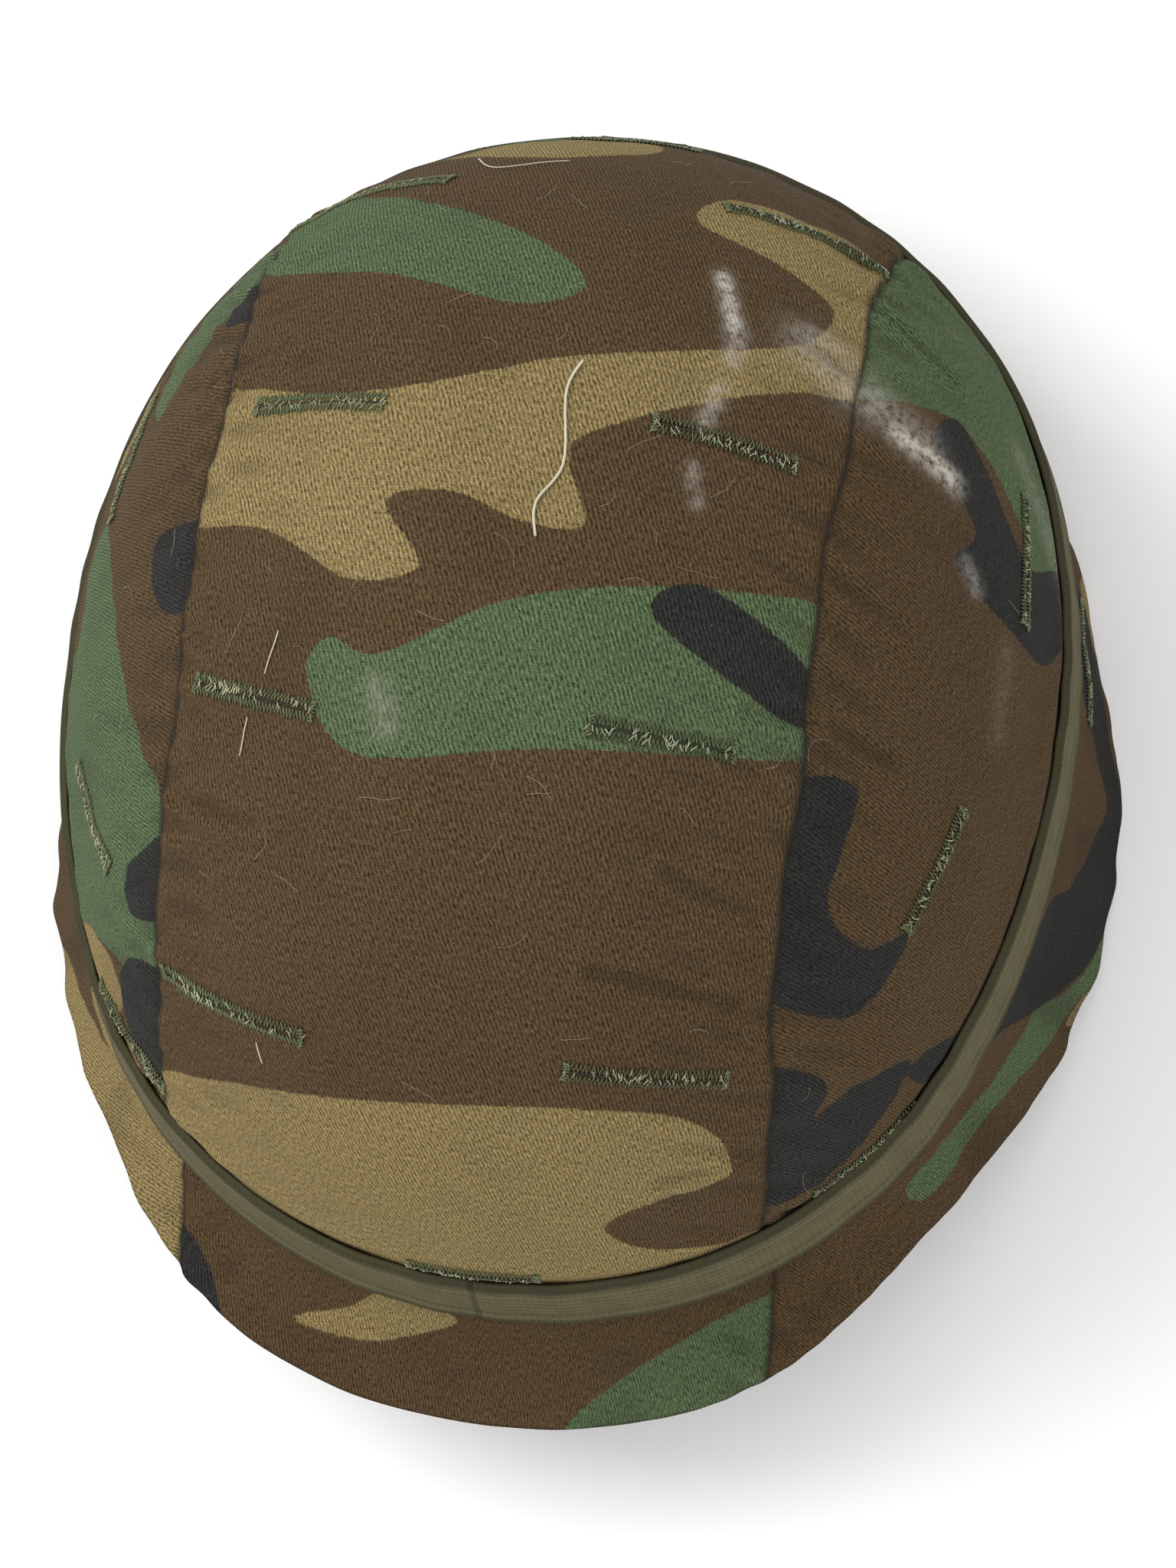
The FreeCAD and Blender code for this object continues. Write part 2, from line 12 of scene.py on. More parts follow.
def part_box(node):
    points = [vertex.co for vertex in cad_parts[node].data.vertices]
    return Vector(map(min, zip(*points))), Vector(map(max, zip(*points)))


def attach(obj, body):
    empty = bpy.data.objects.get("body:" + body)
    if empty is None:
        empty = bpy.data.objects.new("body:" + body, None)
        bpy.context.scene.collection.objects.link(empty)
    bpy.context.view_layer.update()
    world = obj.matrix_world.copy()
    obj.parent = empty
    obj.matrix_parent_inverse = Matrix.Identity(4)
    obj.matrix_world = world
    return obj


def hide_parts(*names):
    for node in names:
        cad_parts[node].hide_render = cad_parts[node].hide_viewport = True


# Looks for a cloth-covered combat helmet: camouflage cover, elastic band, webbing and fittings.
# Lengths are in metres, and in millimetres where a comment says MM.  -Y is the front and +X the
# wearer's left.  Places on the cloth are (across, along) MM from the crown, measured along the
# surface: +across is the wearer's left and +along the rear.

SEED = 11
MM = 0.001
COLUMNS = 720                 # steps round the cover
ROWS = 210                    # steps from crown to rim
HEM_ROWS = 26
DEEPEST_DIP = 0.9             # MM; the shell lies 1.5 under the smooth cover
HEM_DEPTH = 0.0101            # from the cover's outside, round the rim, to its turned-up edge
HEM_TURN = 0.025
BAND_WIDTH = 0.025
BAND_HUG = 0.0011             # how much closer to the cloth the band sits than its plain ring
STRAP_BEND_Y = 0.032          # where the strap's straight legs end and the chin curve starts
EDGE_INSET = 0.0006           # room left for the rounded edge of a woven piece
RAY_CENTER = Vector((0.0, 0.0, 0.035))

# ---------------- colours (linear)
BROWN = (0.072, 0.045, 0.0215)
GREEN = (0.072, 0.103, 0.049)
TAN = (0.203, 0.151, 0.063)
BLACK = (0.022, 0.022, 0.021)
BAND_OLIVE = (0.092, 0.082, 0.042)
WEB_OLIVE = (0.075, 0.080, 0.035)
STITCH_GREEN = (0.125, 0.145, 0.068)
PALE_THREAD = (0.52, 0.49, 0.36)
SCUFF = (0.50, 0.46, 0.40)
FADED = (0.30, 0.27, 0.21)
# dark colour painted as shade in the seams, along the band's edges and in the cloth's hollows
PAINTED_SHADE = (0.020, 0.018, 0.014)
BAND_GRIME = (0.016, 0.015, 0.008)

# ---------------- camouflage outlines, in MM
CAMO = {
    "center": {
        "green": [
            [(-80, 128), (-45, 112), (-10, 92), (3, 79), (-10, 72), (-40, 81), (-80, 96)],
            [(-40, -13), (-36, -5), (-24, -8), (0, 5), (35, 13), (75, 15), (75, -13), (10, -23),
             (-27, -28)],
            [(28, -212), (45, -195), (105, -160), (115, -175), (80, -198)]],
        "tan": [
            [(-50, 148), (-20, 131), (7, 142), (5, 158), (-25, 158)],
            [(23, 108), (35, 124), (80, 117), (75, 73), (50, 63), (12, 43), (7, 35), (12, 22),
             (0, 21), (-15, 26), (-28, 23), (-19, 10), (-34, 7), (-55, 18), (-88, 25), (-88, 55),
             (-40, 48), (0, 58), (45, 73), (57, 90), (45, 99)],
            [(-100, -112), (-25, -102), (30, -97), (55, -101), (63, -115), (40, -126), (35, -134),
             (52, -141), (95, -133), (97, -142), (50, -168), (0, -174), (-18, -174), (-25, -160),
             (-45, -151), (-106, -134)],
            [(-63, -190), (-45, -187), (-32, -182), (-9, -188), (-35, -195)],
            [(-85, 1), (-75, -4), (-85, -10)]],
        "black": [
            [(27, 8), (35, 14), (50, 9), (73, -6), (60, -10), (35, 1)],
            [(-112, -165), (-98, -172), (-87, -190), (-118, -178)]]},
    "left": {
        "green": [
            [(58, 68), (92, 78), (118, 65), (128, 54), (145, 66), (150, 82), (115, 128), (88, 152),
             (60, 150), (55, 97)],
            [(226, -27), (205, -60), (190, -68), (167, -99), (135, -130), (142, -134), (170, -106),
             (200, -76), (226, -38)]],
        "tan": [[(218, -52), (206, -71), (212, -67)]],
        "black": [
            [(85, 70), (95, 78), (122, 55), (140, 64), (152, 69), (147, 42), (132, 30), (97, 39),
             (102, 51), (88, 64)],
            [(55, -26), (77, -20), (75, -46), (88, -55), (99, -50), (98, -58), (85, -72),
             (55, -62)],
            [(60, -88), (83, -88), (84, -99), (92, -91), (112, -84), (103, -108), (85, -124),
             (66, -122)],
            [(113, -85), (132, -76), (130, -89), (117, -91)],
            [(180, 98), (193, 58), (206, 52), (219, 20), (204, -17), (186, -33), (157, -82),
             (175, -77), (203, -60), (228, -20), (232, 10), (205, 104)]]},
    "right": {
        "green": [
            [(-66, 128), (-70, 92), (-88, 86), (-107, 59), (-112, 82), (-98, 113)],
            [(-124, 34), (-92, -22), (-70, -52), (-74, -86), (-122, -76), (-202, -52), (-232, -12),
             (-144, 5), (-141, 30)]],
        "tan": [
            [(-137, -76), (-112, -80), (-104, -92), (-110, -104), (-84, -130), (-118, -136),
             (-166, -103)],
            [(-206, -84), (-154, -118), (-106, -140), (-100, -155), (-112, -184), (-190, -110)]],
        "black": [
            [(-66, 93), (-85, 91), (-86, 78), (-66, 80)],
            [(-92, 20), (-80, 23), (-66, 20), (-68, 3), (-85, 3)],
            [(-74, -48), (-91, -57), (-92, -68), (-74, -67)],
            [(-97, -80), (-74, -83), (-76, -100), (-88, -115), (-105, -98)]]}}

# Patches on the hidden rear and sides: panel, colour, middle, half length, half width, turn
REAR_PATCHES = [
    ("center", "green", (-20, 176), 52, 13, 8), ("center", "black", (38, 172), 24, 8, -15),
    ("center", "tan", (40, 200), 46, 13, 10), ("center", "green", (-52, 214), 30, 14, -20),
    ("center", "black", (-8, 200), 24, 8, 30), ("center", "green", (40, 228), 34, 10, 0),
    ("left", "tan", (166, 122), 40, 12, -55), ("left", "green", (118, 182), 38, 15, 130),
    ("left", "black", (168, 156), 26, 9, -40), ("left", "tan", (210, 116), 26, 10, -60),
    ("left", "black", (98, 208), 30, 9, 150),
    ("right", "tan", (-136, 96), 36, 12, 60), ("right", "green", (-170, 100), 40, 14, 65),
    ("right", "black", (-120, 146), 30, 9, 40), ("right", "tan", (-112, 188), 38, 13, 42),
    ("right", "green", (-164, 158), 32, 11, 50), ("right", "black", (-200, 76), 24, 9, 70),
    ("right", "tan", (-212, 26), 24, 9, 85)]

# How unevenly the centre slits are sewn: place, shift across and along, turn seen from outside
SLIT_MOVES = [
    (-45, 103, -3, -3, 14), (36, 103, 5, -4, -13), (36, 44, 0, 0, -6), (-45, -17, -5, 0, -11),
    (36, -17, -4, 0, 0), (-45, -75, -5, 0, -24), (36, -75, 0, -5, 13)]

# Worn pale marks: points along the mark, half width, strength
SCUFFS = [
    ([(31, 90), (35, 76)], 1.9, 0.9), ([(36, 74), (36, 66)], 2.4, 0.45),
    ([(34, 58), (32, 48)], 2.0, 0.45), ([(31, 38), (33, 31)], 1.6, 0.35),
    ([(76, 63), (84, 62), (93, 60)], 3.2, 1.0), ([(70, 69), (84, 66)], 5.0, 0.30),
    ([(52, 78), (64, 69)], 6.5, 0.40), ([(100, 41), (104, 37)], 2.6, 0.45),
    ([(-24, -15), (-21, -22)], 3.0, 0.20), ([(118, 26), (120, 4)], 3.5, 0.08),
    ([(120, 88), (150, 60)], 5.0, 0.20), ([(-30, 190), (30, 186)], 6.0, 0.30)]

# Creases: start, end, depth, half width
CREASES = [
    ((25, -66), (57, -70), 0.50, 2.2), ((38, -44), (58, -51), 0.40, 2.6),
    ((46, -117), (57, -114), 0.35, 2.2), ((50, -9), (64, -8), 0.45, 1.9),
    ((66, 24), (84, 18), 0.30, 2.4), ((66, -8), (86, -12), 0.30, 2.4),
    ((68, 100), (92, 92), 0.40, 2.0), ((-72, -40), (-50, -44), 0.35, 1.8),
    ((-84, 60), (-60, 64), 0.35, 1.8)]

LOOSE_THREADS = [
    [(6, 58), (4, 50), (6, 34), (2, 25), (3, 18)],
    [(-48, -4), (-50, -13)], [(-53, -22), (-54, -30)], [(-50, -92), (-49, -97)],
    [(-72, -146), (-66, -150)], [(-78, -148), (-74, -158)],
    [(-34, 132), (-27, 124), (-10, 128)]]

random.seed(SEED)
noise = np.random.default_rng(SEED)
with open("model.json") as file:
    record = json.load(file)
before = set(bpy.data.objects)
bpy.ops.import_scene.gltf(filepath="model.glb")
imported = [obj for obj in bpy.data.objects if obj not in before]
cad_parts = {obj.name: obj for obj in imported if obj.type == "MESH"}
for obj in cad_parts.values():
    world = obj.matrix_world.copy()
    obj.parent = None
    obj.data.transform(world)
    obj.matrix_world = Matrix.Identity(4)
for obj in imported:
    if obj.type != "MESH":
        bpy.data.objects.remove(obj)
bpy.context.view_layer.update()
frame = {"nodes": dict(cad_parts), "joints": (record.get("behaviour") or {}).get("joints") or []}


# ---------------- reading the frame

def node_tree(names):
    """Ray-casting tree over one or more CAD nodes."""
    points = []
    faces = []
    for name in names:
        mesh = frame["nodes"][name].data
        start = len(points)
        points.extend(v.co.copy() for v in mesh.vertices)
        faces.extend([start + i for i in p.vertices] for p in mesh.polygons)
    return BVHTree.FromPolygons(points, faces)


def islands(name):
    """Vertex places of each separate solid in a CAD node, in the same order on every run."""
    shape = bmesh.new()
    shape.from_mesh(frame["nodes"][name].data)
    bmesh.ops.remove_doubles(shape, verts=shape.verts, dist=1e-6)
    shape.verts.index_update()
    seen = set()
    groups = []
    for first in shape.verts:
        if first.index in seen:
            continue
        seen.add(first.index)
        stack = [first]
        group = []
        while stack:
            vert = stack.pop()
            group.append(vert.co.copy())
            for edge in vert.link_edges:
                other = edge.other_vert(vert)
                if other.index not in seen:
                    seen.add(other.index)
                    stack.append(other)
        groups.append(np.array(group))
    shape.free()
    return sorted(groups, key=lambda group: tuple(np.round(group.mean(0), 3)))


COVER_NODES = ["cover_panel_center", "cover_panel_left", "cover_panel_right", "cover_hem"]
cover_tree = node_tree(COVER_NODES)
seam_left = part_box("cover_panel_center")[1].x
seam_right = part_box("cover_panel_center")[0].x
band_low, band_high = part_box("helmet_band")
band_center = (band_low.z + band_high.z) / 2
band_rise = (band_high.z - band_low.z - BAND_WIDTH) / 2
crown_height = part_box("cover_panel_center")[1].z
dome_half = Vector(((band_high.x - band_low.x) / 2, (band_high.y - band_low.y) / 2,
                    crown_height - band_low.z))
dome_middle = Vector((0.0, (band_high.y + band_low.y) / 2, band_low.z))


def ray_direction(azimuth, lift):
    return Vector((math.sin(azimuth) * math.cos(lift), -math.cos(azimuth) * math.cos(lift),
                   math.sin(lift)))


def hit_from_outside(tree, azimuth, lift):
    """Outermost place along one direction, or None past the rim or on the rim's underside."""
    direction = ray_direction(azimuth, lift)
    place, normal = tree.ray_cast(RAY_CENTER + direction * 0.4, -direction, 0.4)[:2]
    return None if place is None or normal.z < -0.5 else place


# ---------------- the cover's surface

def meridian(azimuth):
    """Points from crown to rim along one azimuth, evenly spaced."""
    places = []
    lift = math.radians(90)
    step = math.radians(1.0)
    while step > math.radians(0.01):
        place = hit_from_outside(cover_tree, azimuth, lift)
        if place is None:
            lift += step
            step /= 4
        else:
            places.append((math.hypot(place.x, place.y), place.z))
        lift -= step
    line = np.array(places)
    line[0] = (0.0, crown_height)
    reach = np.concatenate([[0.0], np.cumsum(np.hypot(*np.diff(line, axis=0).T))])
    even = np.linspace(0.0, reach[-1], ROWS + 1)
    return np.interp(even, reach, line[:, 0]), np.interp(even, reach, line[:, 1]), even


def smooth_ring(values, times):
    for _ in range(times):
        values = (np.roll(values, 1, axis=0) + 2 * values + np.roll(values, -1, axis=0)) / 4
    return values


azimuths = np.linspace(0.0, 2 * math.pi, COLUMNS, endpoint=False)
rows = [meridian(a) for a in azimuths]
radii = smooth_ring(np.array([r[0] for r in rows]), 12)
heights = smooth_ring(np.array([r[1] for r in rows]), 12)
reaches = smooth_ring(np.array([r[2] for r in rows]), 12)
across = reaches * np.sin(azimuths)[:, None] / MM
along = -reaches * np.cos(azimuths)[:, None] / MM
band_middle = band_center + band_rise * np.cos(azimuths)


def smoothstep(values):
    values = np.clip(values, 0.0, 1.0)
    return values * values * (3 - 2 * values)


def distance_to_line(u, v, points):
    best = np.full(u.shape, 1e9)
    for (u0, v0), (u1, v1) in zip(points[:-1], points[1:]):
        du, dv = u1 - u0, v1 - v0
        share = np.clip(((u - u0) * du + (v - v0) * dv) / (du * du + dv * dv), 0, 1)
        best = np.minimum(best, np.hypot(u - u0 - share * du, v - v0 - share * dv))
    return best


def wave_noise(u, v, size, count):
    """Smooth noise from a sum of plane waves of about one size."""
    total = np.zeros(np.shape(u))
    for _ in range(count):
        turn = noise.uniform(0, math.pi)
        pitch = size * noise.uniform(0.7, 1.5)
        total += np.sin((u * math.cos(turn) + v * math.sin(turn)) * 2 * math.pi / pitch
                        + noise.uniform(0, 6.28))
    return total / math.sqrt(count)


def cloth_relief():
    """How far the cloth stands off the smooth form, in MM."""
    x = radii * np.sin(azimuths)[:, None] / MM
    level = (heights - band_middle[:, None]) / MM
    rim_share = smoothstep((-level - 12.0) / 30.0)
    relief = 0.20 * wave_noise(across, along, 46, 7) + 0.08 * wave_noise(across, along, 15, 9)
    for seam in (seam_left / MM, seam_right / MM):
        gap = x - seam
        inner = np.where(np.sign(gap) == -np.sign(seam), np.abs(gap), 0.0)
        relief += 0.35 * smoothstep(inner / 0.9) * np.exp(-inner / 6.0)
        relief -= 0.40 * np.exp(-(gap / 0.8) ** 2)
        for pitch, lean, height in ((8.5, 0.5, 0.50), (14.0, -0.35, 0.55)):
            phase = (along + lean * gap) / pitch * 2 * math.pi
            pucker = np.sin(phase + 2.2 * wave_noise(across, along, 70, 3))
            relief += height * pucker * np.exp(-np.abs(gap) / 12.0)
    for start, end, depth, half_width in CREASES:
        near = distance_to_line(across, along, [start, end])
        relief -= 2.0 * depth * np.exp(-(near / half_width) ** 2)
        relief += 1.4 * depth * np.exp(-((near - 3.0) / 1.6) ** 2)
    turn = azimuths[:, None]
    folds = np.sin(turn * 19 + 1.3 * np.sin(turn * 5)) + 0.6 * np.sin(turn * 37 + 2.0)
    relief += rim_share * (0.50 * folds + 0.25 * wave_noise(across, along, 26, 5))
    bulge = np.exp(-((level - 16.5) / 3.0) ** 2) + 0.8 * np.exp(-((level + 16.5) / 3.0) ** 2)
    relief += 0.75 * bulge
    under_band = 1 - smoothstep((np.abs(level) - 13.0) / 2.5)
    relief = relief * (1 - under_band) + np.clip(relief, -0.3, 0.25) * under_band
    deep = np.maximum(-DEEPEST_DIP / 2 - relief, 0)
    relief = np.maximum(relief, -DEEPEST_DIP / 2) - DEEPEST_DIP / 2 * np.tanh(deep)
    crown_fade = smoothstep(reaches / 0.012)
    return relief * crown_fade


def outward_normals(places):
    around = np.roll(places, -1, axis=0) - np.roll(places, 1, axis=0)
    normals = np.cross(np.gradient(places, axis=1), around)
    normals /= np.maximum(np.linalg.norm(normals, axis=2, keepdims=True), 1e-12)
    if np.mean(normals[:, ROWS // 2, 2]) < 0:
        normals *= -1
    normals[:, 0] = (0, 0, 1)
    return normals


relief = cloth_relief()
sines = np.sin(azimuths)[:, None]
cosines = np.cos(azimuths)[:, None]
smooth_places = np.stack([radii * sines, -radii * cosines, heights], -1)
normals = outward_normals(smooth_places)
cover_places = smooth_places + normals * relief[..., None] * MM


def hem_places():
    """Rows that roll under the rim and run up inside the shell."""
    edge = cover_places[:, -1]
    outward = np.stack([np.sin(azimuths), -np.cos(azimuths), np.zeros(COLUMNS)], -1)
    crinkle = 0.0003 * np.sin(azimuths * 90 + 2 * np.sin(azimuths * 11))
    rolled = 0.3                  # share of the rows that goes round the rim
    hem_rows = []
    for row in range(1, HEM_ROWS + 1):
        share = row / HEM_ROWS
        if share < rolled:
            turn = share / rolled * math.pi
            place = edge - outward * (HEM_DEPTH * (1 - math.cos(turn)) / 2)
            place[:, 2] = np.maximum(edge[:, 2] - 0.0004 * math.sin(turn), 0.0003)
        else:
            level = edge[:, 2] + (share - rolled) / (1 - rolled) * HEM_TURN
            wall = np.array([np.interp(z, heights[i][::-1], radii[i][::-1])
                             for i, z in enumerate(level)])
            place = outward * (wall - HEM_DEPTH + crinkle)[:, None]
            place[:, 2] = level
        hem_rows.append(place)
    return np.stack(hem_rows, 1)


full_places = np.concatenate([cover_places, hem_places()], axis=1)
full_rows = full_places.shape[1]
hem_reach = reaches[:, -1:] + np.linspace(0, HEM_DEPTH + HEM_TURN, HEM_ROWS + 1)[1:]
full_reach = np.concatenate([reaches, hem_reach], axis=1)
full_across = full_reach * sines / MM
full_along = -full_reach * cosines / MM


# ---------------- camouflage distances

def curve_through(points, steps, closed=False):
    """Smooth curve through the points."""
    points = np.array(points, float)
    if not closed:
        points = np.vstack([points[:1], points, points[-1:]])
    before, after, beyond = np.roll(points, 1, 0), np.roll(points, -1, 0), np.roll(points, -2, 0)
    curve = []
    for step in range(steps):
        t = step / steps
        curve.append(points + 0.5 * t * (after - before)
                     + 0.5 * t ** 2 * (2 * before - 5 * points + 4 * after - beyond)
                     + 0.5 * t ** 3 * (3 * points - before - 3 * after + beyond))
    curve = np.stack(curve, 1)
    if closed:
        return curve.reshape(-1, 2)
    return np.vstack([curve[1:-2].reshape(-1, 2), points[-1:]])


def patch_outline(middle, half_length, half_width, turn):
    """Wavy closed outline in the manner of the pattern's blotches."""
    phase = noise.uniform(0, 6.28, 3)
    angles = np.linspace(0, 2 * math.pi, 26, endpoint=False)
    swell = (1 + 0.22 * np.sin(2 * angles + phase[0]) + 0.20 * np.sin(3 * angles + phase[1])
             + 0.12 * np.sin(5 * angles + phase[2]))
    u = half_length * np.cos(angles) * swell
    v = half_width * np.sin(angles) * swell
    turn = math.radians(turn)
    return np.stack([middle[0] + u * math.cos(turn) - v * math.sin(turn),
                     middle[1] + u * math.sin(turn) + v * math.cos(turn)], -1)


def signed_distance(u, v, outline):
    """MM inside (+) or outside (-) a closed outline, no further than 6."""
    result = np.full(u.shape, -6.0)
    low, high = outline.min(0) - 6.0, outline.max(0) + 6.0
    near = (u > low[0]) & (u < high[0]) & (v > low[1]) & (v < high[1])
    pu, pv = u[near], v[near]
    inside = np.zeros(pu.shape, bool)
    for (u0, v0), (u1, v1) in zip(outline, np.roll(outline, -1, 0)):
        crosses = (v0 > pv) != (v1 > pv)
        slope = (u1 - u0) / (v1 - v0) if v1 != v0 else 0.0
        inside ^= crosses & (pu < u0 + (pv - v0) * slope)
    gap = distance_to_line(pu, pv, np.vstack([outline, outline[:1]]))
    result[near] = np.clip(np.where(inside, gap, -gap), -6.0, 6.0)
    return result


def camo_layers(panel):
    layers = {}
    for colour in ("green", "tan", "black"):
        outlines = [curve_through(points, 6, closed=True) for points in CAMO[panel][colour]]
        for patch_panel, patch_colour, middle, length, width, turn in REAR_PATCHES:
            if patch_panel == panel and patch_colour == colour:
                outlines.append(patch_outline(middle, length, width, turn))
        layer = np.full(full_across.shape, -6.0)
        for outline in outlines:
            layer = np.maximum(layer, signed_distance(full_across, full_along, outline))
        layers[colour] = layer
    return layers


def scuff_layer():
    layer = np.zeros(full_across.shape)
    for points, half_width, strength in SCUFFS:
        gap = distance_to_line(full_across, full_along, points)
        layer += strength * np.exp(-(gap / half_width) ** 2)
    return np.clip(layer, 0, 1)


# ---------------- materials

class Surface:
    """A new material, with short ways to add shader nodes to it."""

    def __init__(self, name, colour, roughness=0.9):
        self.material = bpy.data.materials.new(name)
        self.material.use_nodes = True
        self.tree = self.material.node_tree
        self.shader = self.tree.nodes["Principled BSDF"]
        self.feed(self.shader, {"Base Color": (*colour, 1.0), "Roughness": roughness})

    def feed(self, node, values):
        for key, value in values.items():
            if isinstance(value, bpy.types.NodeSocket):
                self.tree.links.new(value, node.inputs[key])
            else:
                node.inputs[key].default_value = value

    def node(self, kind, values, **settings):
        node = self.tree.nodes.new(kind)
        for key, value in settings.items():
            setattr(node, key, value)
        self.feed(node, values)
        return node.outputs

    def math(self, operation, first, second=0.0, third=0.0, clamp=False):
        return self.node("ShaderNodeMath", {0: first, 1: second, 2: third}, operation=operation,
                         use_clamp=clamp)[0]

    def scaled(self, value, factor, offset=0.0, clamp=False):
        return self.math("MULTIPLY_ADD", value, factor, offset, clamp)

    def waves(self, value, pitch, shift=0.0):
        return self.math("SINE", self.scaled(value, 2 * math.pi / pitch, shift))

    def noise(self, place, scale, detail, roughness=0.5):
        return self.node("ShaderNodeTexNoise", {"Vector": place, "Scale": scale, "Detail": detail,
                                                "Roughness": roughness})["Fac"]

    def attribute(self, name):
        return self.node("ShaderNodeAttribute", {}, attribute_name=name)["Fac"]

    def cloth_places(self):
        """The cloth's own flat places in metres: both at once, along the piece, across it."""
        both = self.node("ShaderNodeUVMap", {}, uv_map="weave")[0]
        parts = self.node("ShaderNodeSeparateXYZ", {0: both})
        return both, parts[0], parts[1]

    def mix(self, share, first, second, blend="MIX"):
        first, second = ((*c, 1.0) if isinstance(c, tuple) else c for c in (first, second))
        return self.node("ShaderNodeMix", {0: share, 6: first, 7: second}, data_type="RGBA",
                         blend_type=blend)[2]

    def shaded(self, colour, light):
        grey = self.node("ShaderNodeCombineXYZ", {0: light, 1: light, 2: light})[0]
        return self.mix(1.0, colour, grey, "MULTIPLY")

    def finish(self, colour, height, strength, depth, specular):
        bump = self.node("ShaderNodeBump", {"Height": height, "Strength": strength,
                                            "Distance": depth})[0]
        self.feed(self.shader, {"Base Color": colour, "Normal": bump,
                                "Specular IOR Level": specular})
        return self.material


def cloth_material(pitch=0.00098):
    """Worn diagonal twill with the camouflage, scuffs and painted shade of the cover's layers."""
    look = Surface("camouflage_twill", BROWN, 0.93)
    place, across, along = look.cloth_places()
    bend = look.scaled(look.noise(place, 260.0, 2.0), 0.0009)
    phase = look.math("ADD", across, look.scaled(along, 0.42, bend))
    lines = look.scaled(look.waves(along, pitch * 0.62), 0.25, look.waves(phase, pitch))
    along_yarn = look.node("ShaderNodeCombineXYZ", {0: phase, 1: look.scaled(along, 0.45)})[0]
    wander = look.scaled(look.noise(place, 900.0, 3.0), 1.3, -0.65)
    colour = BROWN
    for name, tint in (("green", GREEN), ("tan", TAN), ("black", BLACK)):
        reach = look.math("ADD", look.attribute(name), wander)
        colour = look.mix(look.scaled(reach, 2.2, 0.5, clamp=True), colour, tint)
    fade = look.scaled(look.noise(place, 22.0, 4.0), 0.5, -0.18, clamp=True)
    colour = look.mix(fade, colour, look.mix(0.10, colour, FADED))
    yarn = look.noise(along_yarn, 2100.0, 4.0, 0.75)
    light = look.scaled(lines, 0.30, look.scaled(yarn, 4.8, -1.40))
    colour = look.shaded(colour, look.math("MAXIMUM", light, 0.25))
    lint = look.scaled(look.noise(place, 1500.0, 1.0), 9.0, -6.6, clamp=True)
    colour = look.mix(look.scaled(lint, 0.35), colour, PALE_THREAD)
    streaks = look.scaled(look.noise(place, 420.0, 5.0, 0.7), 4.5, -1.55, clamp=True)
    scuff = look.scaled(look.math("MULTIPLY", look.attribute("scuff"), streaks), 0.95)
    colour = look.mix(scuff, colour, SCUFF)
    # painted shade of the seams, the band's edges and the hollows darkens the cloth
    colour = look.mix(look.scaled(look.attribute("painted_shade"), 0.80), colour, PAINTED_SHADE)
    return look.finish(colour, look.scaled(yarn, 0.8, lines), 0.55, 0.00025, 0.08)


def ribbed_material(name, colour, rib, cross, dark_edges_of=0.0):
    """Webbing: ribs along its length with a finer crossing yarn, and grimy edges on a wide band."""
    look = Surface(name, colour, 0.88)
    place, along, across = look.cloth_places()
    ribs = look.waves(across, rib)
    height = look.scaled(look.waves(along, cross, look.scaled(ribs, 1.2)), 0.45, ribs)
    light = look.scaled(look.noise(place, 160.0, 5.0), 0.55, 0.52)
    light = look.scaled(look.noise(place, 2600.0, 1.0), 0.45, light)
    light = look.scaled(height, 0.16, look.math("SUBTRACT", light, 0.02))
    shade = look.shaded(colour, light)
    if dark_edges_of:
        off_middle = look.math("ABSOLUTE", look.math("SUBTRACT", across, dark_edges_of / 2))
        edge = look.scaled(off_middle, 420.0, -420.0 * dark_edges_of * 0.36, clamp=True)
        shade = look.mix(look.scaled(edge, 0.62), shade, BAND_GRIME)
    return look.finish(shade, height, 0.6, 0.00022, 0.12)


def grainy_material(name, colour, roughness, grain, depth, metallic=0.0):
    """Plain surface with fine grain and slight patches of wear."""
    look = Surface(name, colour, roughness)
    place = look.node("ShaderNodeTexCoord", {})["Object"]
    light = look.scaled(look.noise(place, 60.0, 3.0), 0.5, 0.74)
    look.feed(look.shader, {"Metallic": metallic})
    return look.finish(look.shaded(colour, light), look.noise(place, grain, 4.0), 0.5, depth, 0.5)


def thread(name, colour):
    return grainy_material(name, colour, 0.85, 3000.0, 0.0001), "olive_thread"


# soft looks are a material and its slot; hard nodes get the material alone
twill = cloth_material(), "camouflage_cloth"
band_cloth = (ribbed_material("band_elastic", BAND_OLIVE, 0.0025, 0.0015, dark_edges_of=0.0245),
              "elastic_band")
webbing = ribbed_material("olive_webbing", WEB_OLIVE, 0.0021, 0.0016), "olive_webbing"
pile_cloth = (grainy_material("hook_pile", (0.030, 0.036, 0.018), 0.95, 2200.0, 0.0005),
              "hook_and_loop")
leather = (grainy_material("sweatband_leather", (0.17, 0.095, 0.045), 0.55, 900.0, 0.0003),
           "sweatband_leather")
green_thread = thread("stitch_green", STITCH_GREEN)
pale_thread = thread("thread_pale", PALE_THREAD)
lint_thread = thread("lint", (0.30, 0.27, 0.19))
# a dark thread laid along each slit as painted shade in its opening
opening_shade_thread = thread("slit_gap_shade", (0.020, 0.024, 0.012))
fray_thread = thread("slit_fray", (0.40, 0.41, 0.26))
shell_paint = grainy_material("shell_resin", (0.050, 0.060, 0.032), 0.75, 1300.0, 0.0004)
edging_rubber = grainy_material("edging_rubber", (0.025, 0.028, 0.020), 0.7, 800.0, 0.0001)
black_steel = grainy_material("blackened_steel", (0.045, 0.045, 0.045), 0.42, 1200.0, 0.00005, 0.7)
clip_metal = grainy_material("clip_metal", (0.075, 0.080, 0.055), 0.45, 900.0, 0.00005, 0.5)
snap_brass = grainy_material("snap_brass", (0.16, 0.13, 0.07), 0.4, 900.0, 0.00005, 0.9)


# ---------------- mesh helpers

